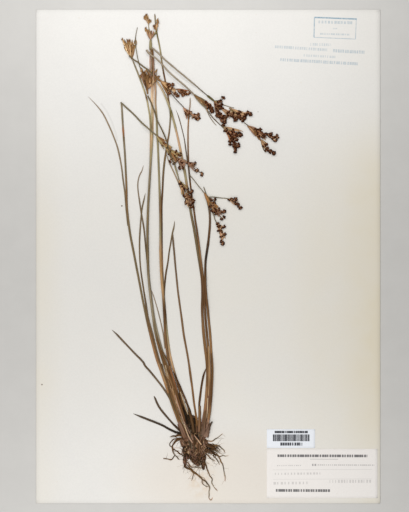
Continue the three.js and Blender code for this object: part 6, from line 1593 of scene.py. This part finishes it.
def line_mark():
    """Where a straight drawn line lies: 1 on it, 0 away from it. The pitch breaks it into dashes, and the
    duty is the share of each dash's room that is drawn, with some chance in it. From a duty of 1.3 the line
    is whole."""

    def build(tree, given):
        span = vector_of(tree, "SUBTRACT", given["To"], given["From"])
        arm = vector_of(tree, "SUBTRACT", given["Place"], given["From"])
        covered = vector_of(tree, "DOT_PRODUCT", arm, span)
        share = math_of(tree, "DIVIDE", covered, vector_of(tree, "DOT_PRODUCT", span, span))
        away = vector_of(tree, "DISTANCE", arm, scaled(tree, span, share))
        inside = math_of(tree, "SUBTRACT", math_of(tree, "MULTIPLY", given["Width"], 0.5), away)
        inside = math_of(tree, "MULTIPLY_ADD", inside, 5000.0, 0.5, clamp=True)
        within = math_of(tree, "COMPARE", share, 0.5, 0.5)
        reach = math_of(tree, "MULTIPLY", share, vector_of(tree, "LENGTH", span))
        cell = math_of(tree, "DIVIDE", reach, given["Pitch"])
        dash = {"Vector": given["From"], "W": math_of(tree, "FLOOR", cell)}
        chance = put(tree, "ShaderNodeTexWhiteNoise", dash, noise_dimensions="4D").outputs["Value"]
        duty = math_of(tree, "ADD", given["Duty"], math_of(tree, "MULTIPLY_ADD", chance, 0.5, -0.25))
        drawn = math_of(tree, "LESS_THAN", math_of(tree, "FRACT", cell), duty)
        return {"Mask": math_of(tree, "MULTIPLY", inside, math_of(tree, "MULTIPLY", within, drawn))}

    inputs = (
        ("Place", "Vector"), ("From", "Vector"), ("To", "Vector"),
        ("Width", "Float"), ("Pitch", "Float"), ("Duty", "Float"),
    )
    return group("Line mark", inputs, (("Mask", "Float"),), build)


def spot_mark():
    """Where an oval mark lies: 1 at its middle, fading to 0 at its reach."""

    def build(tree, given):
        arm = vector_of(tree, "SUBTRACT", given["Place"], given["Middle"])
        arm = vector_of(tree, "DIVIDE", arm, given["Reach"])
        return {"Mask": spread(tree, vector_of(tree, "LENGTH", arm), 1.0, 0.35)}

    inputs = (("Place", "Vector"), ("Middle", "Vector"), ("Reach", "Vector"))
    return group("Spot mark", inputs, (("Mask", "Float"),), build)


def fed_group(tree, shared, feeds):
    return put(tree, "ShaderNodeGroup", feeds, node_tree=shared).outputs


# Finishes

# fineness per metre, depth of the streaks, warmth, roughness of the lightest and of the darkest streak, shine
# and relief in millimetres
PLANT_FINISHES = {
    "culm": (3200.0, 0.26, 0.6, 0.5, 0.72, 0.16, 0.05),
    "tan culm": (3000.0, 0.2, 0.5, 0.5, 0.72, 0.16, 0.05),
    "leaf": (3400.0, 0.28, 0.4, 0.6, 0.8, 0.14, 0.05),
    "husk": (2600.0, 0.34, 0.4, 0.6, 0.82, 0.14, 0.07),
    "crown": (1500.0, 0.5, 0.35, 0.8, 0.95, 0.1, 0.12),
    "root": (2600.0, 0.4, 0.3, 0.75, 0.92, 0.1, 0.07),
    "capsule": (2400.0, 0.3, 0.3, 0.42, 0.62, 0.07, 0.04),
    "scale": (3600.0, 0.3, 0.2, 0.55, 0.78, 0.06, 0.03),
}


def new_finish(name):
    finish = bpy.data.materials.new(name)
    finish.use_nodes = True
    return finish, finish.node_tree, finish.node_tree.nodes["Principled BSDF"]


def bump(tree, height, relief, strength=1.0):
    """relief is the height of the bumps in millimetres."""
    feeds = {"Height": height, "Distance": relief * MM, "Strength": strength}
    return put(tree, "ShaderNodeBump", feeds).outputs["Normal"]


def plant_finish(kind):
    """The material of a kind of dry tissue, made once."""
    name = kind.capitalize().replace(" ", "_")
    if name in bpy.data.materials:
        return bpy.data.materials[name]
    fineness, depth, warmth, smooth, rough, shine, relief = PLANT_FINISHES[kind]
    finish, tree, shader = new_finish(name)
    grain = put(tree, "ShaderNodeAttribute", attribute_name="grain").outputs["Vector"]
    tint = put(tree, "ShaderNodeAttribute", attribute_name="tint").outputs["Color"]
    feeds = {"Grain": grain, "Tint": tint, "Fineness": fineness, "Depth": depth, "Warmth": warmth}
    tissue = fed_group(tree, dry_tissue(), feeds)
    feed(tree, shader, {
        "Base Color": tissue["Colour"],
        "Roughness": spread(tree, tissue["Streak"], 0.3, 0.7, rough, smooth),
        "Specular IOR Level": shine,
        "Normal": bump(tree, tissue["Height"], relief),
    })
    return finish


# Marks on the papers: from, to, width, pitch of the dashes, share of them that is drawn, and strength.
# No dash stands for a letter or a number
WHOLE = 1.5
STAMP_MARKS = (
    ((90.1, 202.8), (126, 201.4), 1.2, 1, WHOLE, 0.85), ((90.2, 203), (89.8, 185.9), 0.9, 1, WHOLE, 0.7),
    ((89.8, 185.9), (125, 184.4), 0.6, 1, WHOLE, 0.6), ((125.7, 201.7), (125, 184.4), 0.6, 1, WHOLE, 0.6),
    ((93.5, 199), (122.3, 198.2), 2.4, 2.7, 0.62, 0.4), ((105.8, 193.3), (109.6, 193.3), 1, 1.3, 0.6, 0.35),
    ((95, 188.9), (119.8, 188.2), 1.5, 1.5, 0.72, 0.4), ((86.7, 179.9), (104.2, 179.6), 2.2, 1.9, 0.6, 0.34),
    ((56.7, 178), (101, 175.2), 2.4, 1.9, 0.7, 0.34), ((106, 174.6), (132.6, 173.2), 2.7, 2, 0.74, 0.42),
    ((81, 170.6), (108, 169.2), 2, 2, 0.6, 0.3), ((61.2, 167), (127, 163.4), 2.5, 1.9, 0.74, 0.42),
)
LABEL_MARKS = (
    ((58.8, -169), (135, -169.2), 2.2, 2.1, 0.8, 0.8), ((86.4, -171.9), (110.2, -172), 0.4, 1, WHOLE, 0.5),
    ((55, -181), (139, -180.6), 0.3, 1, WHOLE, 0.22), ((55, -189), (139, -188.6), 0.3, 1, WHOLE, 0.22),
    ((88.2, -176.8), (92.4, -176.8), 1.8, 2, 0.8, 0.6), ((93, -176.8), (141, -177), 1, 1.7, 0.7, 0.34),
    ((58.4, -177.4), (79, -177.2), 0.9, 1.6, 0.62, 0.3), ((56.6, -184.4), (97, -184), 1.8, 2.7, 0.45, 0.24),
    ((55.4, -192.4), (85, -192), 2.2, 3.1, 0.45, 0.24), ((103, -190.8), (139, -190.6), 2.6, 2.4, 0.45, 0.24),
    ((57.4, -198.4), (103.4, -198.6), 2.3, 2.1, 0.78, 0.8),
)
SLIP_MARKS = (
    ((54.9, -153.8), (86.1, -153.8), 5.8, 0.72, 0.8, 0.95),
    ((56.4, -148.9), (84.6, -148.9), 2, 1.5, 0.85, 0.95),
    ((61.2, -159.1), (79.8, -159.1), 2.6, 2, 0.68, 0.95),
)
GHOST_LINE = ((-91, 130), (-86, 123), (-82, 115), (-78.5, 105), (-77, 98))
SPECKS = (((-73.2, 42.9), 0.9), ((-141, -108.7), 0.8), ((42.3, 122.7), 0.45))


def flat(place):
    """A place on the sheet as a vector in metres."""
    return (place[0] * MM, place[1] * MM, 0.0)


def drawn_marks(tree, place, marks):
    """The strongest of several drawn lines."""
    whole = None
    for start, end, width, pitch, duty, strength in marks:
        feeds = {
            "Place": place, "From": flat(start), "To": flat(end),
            "Width": width * MM, "Pitch": pitch * MM, "Duty": duty,
        }
        mask = math_of(tree, "MULTIPLY", fed_group(tree, line_mark(), feeds)["Mask"], strength)
        whole = mask if whole is None else math_of(tree, "MAXIMUM", whole, mask)
    return whole


def spot(tree, place, middle, reach):
    feeds = {"Place": place, "Middle": flat(middle), "Reach": (reach[0] * MM, reach[1] * MM, 1.0)}
    return fed_group(tree, spot_mark(), feeds)["Mask"]


def marks_on_sheet(tree, place, stock, colour_in):
    """Toning, stain, specks, a faint old line and a bare stamped frame, over the sheet's own colour."""
    down = put(tree, "ShaderNodeSeparateXYZ", {0: place}).outputs
    across = spread(tree, down["X"], -0.07, 0.03, 0.14, 0.28)
    across = math_of(tree, "ADD", across, spread(tree, down["X"], 0.06, 0.1, 0.0, 0.2))
    across = math_of(tree, "ADD", across, spread(tree, down["X"], 0.1, 0.15, 0.0, 0.55))
    edge = spread(tree, down["X"], -0.115, -0.146, 0.0, 0.3)
    toned = math_of(tree, "ADD", across, edge)
    toned = math_of(tree, "MULTIPLY", toned, spread(tree, down["Y"], 0.03, 0.14, 1.0, 0.15))
    toned = math_of(tree, "MULTIPLY", toned, spread(tree, down["Y"], -0.17, -0.1, 0.6, 1.0))
    uneven = math_of(tree, "MULTIPLY", toned, spread(tree, stock["Mottle"], 0.35, 0.65, 0.8, 1.1))
    colour_out = mix_of(tree, uneven, colour_in, mix_of(tree, 1.0, colour_in, paint("toned"), "DARKEN"))
    warmed = math_of(tree, "MULTIPLY", spot(tree, place, (10, -190), (110, 55)), 0.3)
    colour_out = mix_of(tree, warmed, colour_out, paint("stain"))
    blot = math_of(
        tree, "MULTIPLY", spot(tree, place, (-6, -188), (17, 22)),
        spread(tree, noise_of(tree, place, 130.0, 4, 0.6), 0.4, 0.66, 0.0, 0.75),
    )
    colour_out = mix_of(tree, blot, colour_out, paint("stain"))
    ghost = [(a, b, 1.6, 1, WHOLE, 0.09) for a, b in zip(GHOST_LINE, GHOST_LINE[1:])]
    colour_out = mix_of(tree, drawn_marks(tree, place, ghost), colour_out, paint("grey_brown"))
    for middle, reach in SPECKS:
        colour_out = mix_of(tree, spot(tree, place, middle, (reach, reach)), colour_out, paint("dark_brown"))
    inked = math_of(
        tree, "MULTIPLY", drawn_marks(tree, place, STAMP_MARKS),
        spread(tree, noise_of(tree, place, 420.0, 2, 0.6), 0.35, 0.6, 0.6, 1.0),
    )
    return mix_of(tree, inked, colour_out, paint("stamp"))


def marks_on_label(tree, place, stock, colour_in):
    """Ruled lines and rows of plain dashes, with nothing written."""
    return mix_of(tree, drawn_marks(tree, place, LABEL_MARKS), colour_in, paint("ink"))


def marks_on_slip(tree, place, stock, colour_in):
    """A block of plain bars and two rows of dashes that stand for nothing."""
    return mix_of(tree, drawn_marks(tree, place, SLIP_MARKS), colour_in, paint("ink"))


PAPER_FINISHES = {  # colour, marks, roughness, relief
    "sheet": ("paper", marks_on_sheet, 0.85, 0.05),
    "label": ("label", marks_on_label, 0.7, 0.03),
    "slip": ("slip", marks_on_slip, 0.6, 0.02),
}


def paper_finish(kind):
    """The material of a paper with its marks."""
    tone, marks, roughness, relief = PAPER_FINISHES[kind]
    finish, tree, shader = new_finish(f"Paper_{kind}")
    place = put(tree, "ShaderNodeTexCoord").outputs["Object"]
    flat_place = vector_of(tree, "MULTIPLY", place, (1.0, 1.0, 0.0))
    stock = fed_group(tree, paper_stock(), {"Place": place, "Tone": paint(tone)})
    feed(tree, shader, {
        "Base Color": marks(tree, flat_place, stock, stock["Colour"]),
        "Roughness": spread(tree, stock["Mottle"], 0.3, 0.7, roughness - 0.05, roughness + 0.07),
        "Specular IOR Level": 0.3,
        "Normal": bump(tree, stock["Height"], relief, 0.6),
    })
    return finish


# Stage

STAGE = {"floor": (206, 204, 200), "size": 3.0, "camera_height": 1.3, "lens": 107.7}
PHOTO_MIDDLE = (-3.1, 0.4)  # place on the sheet under the camera
LAMPS = (  # name, place, length and width, and power. All face straight down
    ("Lamp_over", (-0.2, 0, 1.2), (0.4, 0.4), 6.0),
    ("Lamp_top", (-0.04, 0.26, 0.25), (0.4, 0.1), 0.453),
    ("Lamp_foot", (-0.04, -0.26, 0.25), (0.4, 0.1), 0.328),
)
SKY = 0.3


def make_floor():
    half = STAGE["size"] / 2
    mesh = bpy.data.meshes.new("floor")
    under = -0.0002
    corners = [(-half, -half, under), (half, -half, under), (half, half, under), (-half, half, under)]
    mesh.from_pydata(corners, [], [(0, 1, 2, 3)])
    finish, tree, shader = new_finish("Floor")
    place = put(tree, "ShaderNodeTexCoord").outputs["Object"]
    shade = spread(tree, noise_of(tree, place, 40.0, 3, 0.6), 0.3, 0.7, 0.985, 1.015)
    tone = scaled(tree, linear(*STAGE["floor"]), shade)
    feed(tree, shader, {"Base Color": tone, "Roughness": 0.9, "Specular IOR Level": 0.1})
    mesh.materials.append(finish)
    linked("floor", mesh)


def make_lights():
    for name, place, (long, wide), power in LAMPS:
        lamp = bpy.data.lights.new(name, "AREA")
        lamp.shape = "RECTANGLE"
        lamp.size, lamp.size_y = long, wide
        lamp.energy = power
        thing = linked(name, lamp)
        thing.location = place
        thing.visible_camera = False
    world = bpy.data.worlds.new("Studio")
    world.use_nodes = True
    sky = world.node_tree.nodes["Background"]
    feed(world.node_tree, sky, {"Color": (1, 1, 1, 1), "Strength": SKY})
    bpy.context.scene.world = world
    bpy.context.scene.view_settings.view_transform = "Standard"


def make_camera():
    """Straight above the sheet, as the photo was taken."""
    lens = bpy.data.cameras.new("Camera")
    lens.lens = STAGE["lens"]
    lens.clip_start = 0.01
    camera = linked("Camera", lens)
    camera.location = (PHOTO_MIDDLE[0] * MM, PHOTO_MIDDLE[1] * MM, STAGE["camera_height"])
    bpy.context.scene.camera = camera


# Operators, one for each kind of piece

class RUSH_OT_papers(bpy.types.Operator):
    """Make the mounting sheet and its two bare slips"""

    bl_idname = "rush.papers"
    bl_label = "Papers"

    def execute(self, context):
        for kind in PAPERS:
            make_paper(kind)
        return {"FINISHED"}


class RUSH_OT_crown(bpy.types.Operator):
    """Make the crown with its shoot bases and fibres, and the roots that leave it"""

    bl_idname = "rush.crown"
    bl_label = "Crown and roots"

    def execute(self, context):
        make_roots(make_crown())
        return {"FINISHED"}


class RUSH_OT_culms(bpy.types.Operator):
    """Make the pressed culms"""

    bl_idname = "rush.culms"
    bl_label = "Culms"

    def execute(self, context):
        for node in nodes_of("stem"):
            make_strip(node)
        make_strands()
        return {"FINISHED"}


class RUSH_OT_leaves(bpy.types.Operator):
    """Make the dry leaves"""

    bl_idname = "rush.leaves"
    bl_label = "Leaves"

    def execute(self, context):
        for node in nodes_of("leaf"):
            make_strip(node)
        return {"FINISHED"}


class RUSH_OT_husks(bpy.types.Operator):
    """Make the sheaths round the foot of the culms"""

    bl_idname = "rush.husks"
    bl_label = "Sheaths"

    def execute(self, context):
        for node in nodes_of("sheath"):
            make_strip(node)
        return {"FINISHED"}


class RUSH_OT_panicles(bpy.types.Operator):
    """Make the panicles with their capsules"""

    bl_idname = "rush.panicles"
    bl_label = "Panicles"

    def execute(self, context):
        for node in PANICLES:
            make_panicle(node)
        return {"FINISHED"}


class RUSH_OT_stage(bpy.types.Operator):
    """Make the floor, the lights and the camera"""

    bl_idname = "rush.stage"
    bl_label = "Stage"

    def execute(self, context):
        make_floor()
        make_lights()
        make_camera()
        return {"FINISHED"}


STEPS = (
    RUSH_OT_stage, RUSH_OT_papers, RUSH_OT_crown, RUSH_OT_culms, RUSH_OT_leaves, RUSH_OT_husks,
    RUSH_OT_panicles,
)


class RUSH_PT_panel(bpy.types.Panel):
    """The steps that make the pressed rush, in order"""

    bl_idname = "RUSH_PT_panel"
    bl_label = "Pressed rush"
    bl_space_type = "VIEW_3D"
    bl_region_type = "UI"
    bl_category = "Rush"

    def draw(self, context):
        for step in STEPS:
            self.layout.operator(step.bl_idname)
        for settings in (context.scene.rush_sizes, context.scene.rush_colours):
            for name in settings.__annotations__:
                self.layout.prop(settings, name)


CLASSES = (RushColours, RushSizes, *STEPS, RUSH_PT_panel)


def register():
    for made in CLASSES:
        bpy.utils.register_class(made)
    bpy.types.Scene.rush_colours = PointerProperty(type=RushColours)
    bpy.types.Scene.rush_sizes = PointerProperty(type=RushSizes)


def unregister():
    del bpy.types.Scene.rush_sizes
    del bpy.types.Scene.rush_colours
    for made in reversed(CLASSES):
        bpy.utils.unregister_class(made)


def main():
    register()
    for step in STEPS:
        group_name, operator_name = step.bl_idname.split(".")
        getattr(getattr(bpy.ops, group_name), operator_name)()
    bpy.context.view_layer.update()


if __name__ == "__main__":
    main()
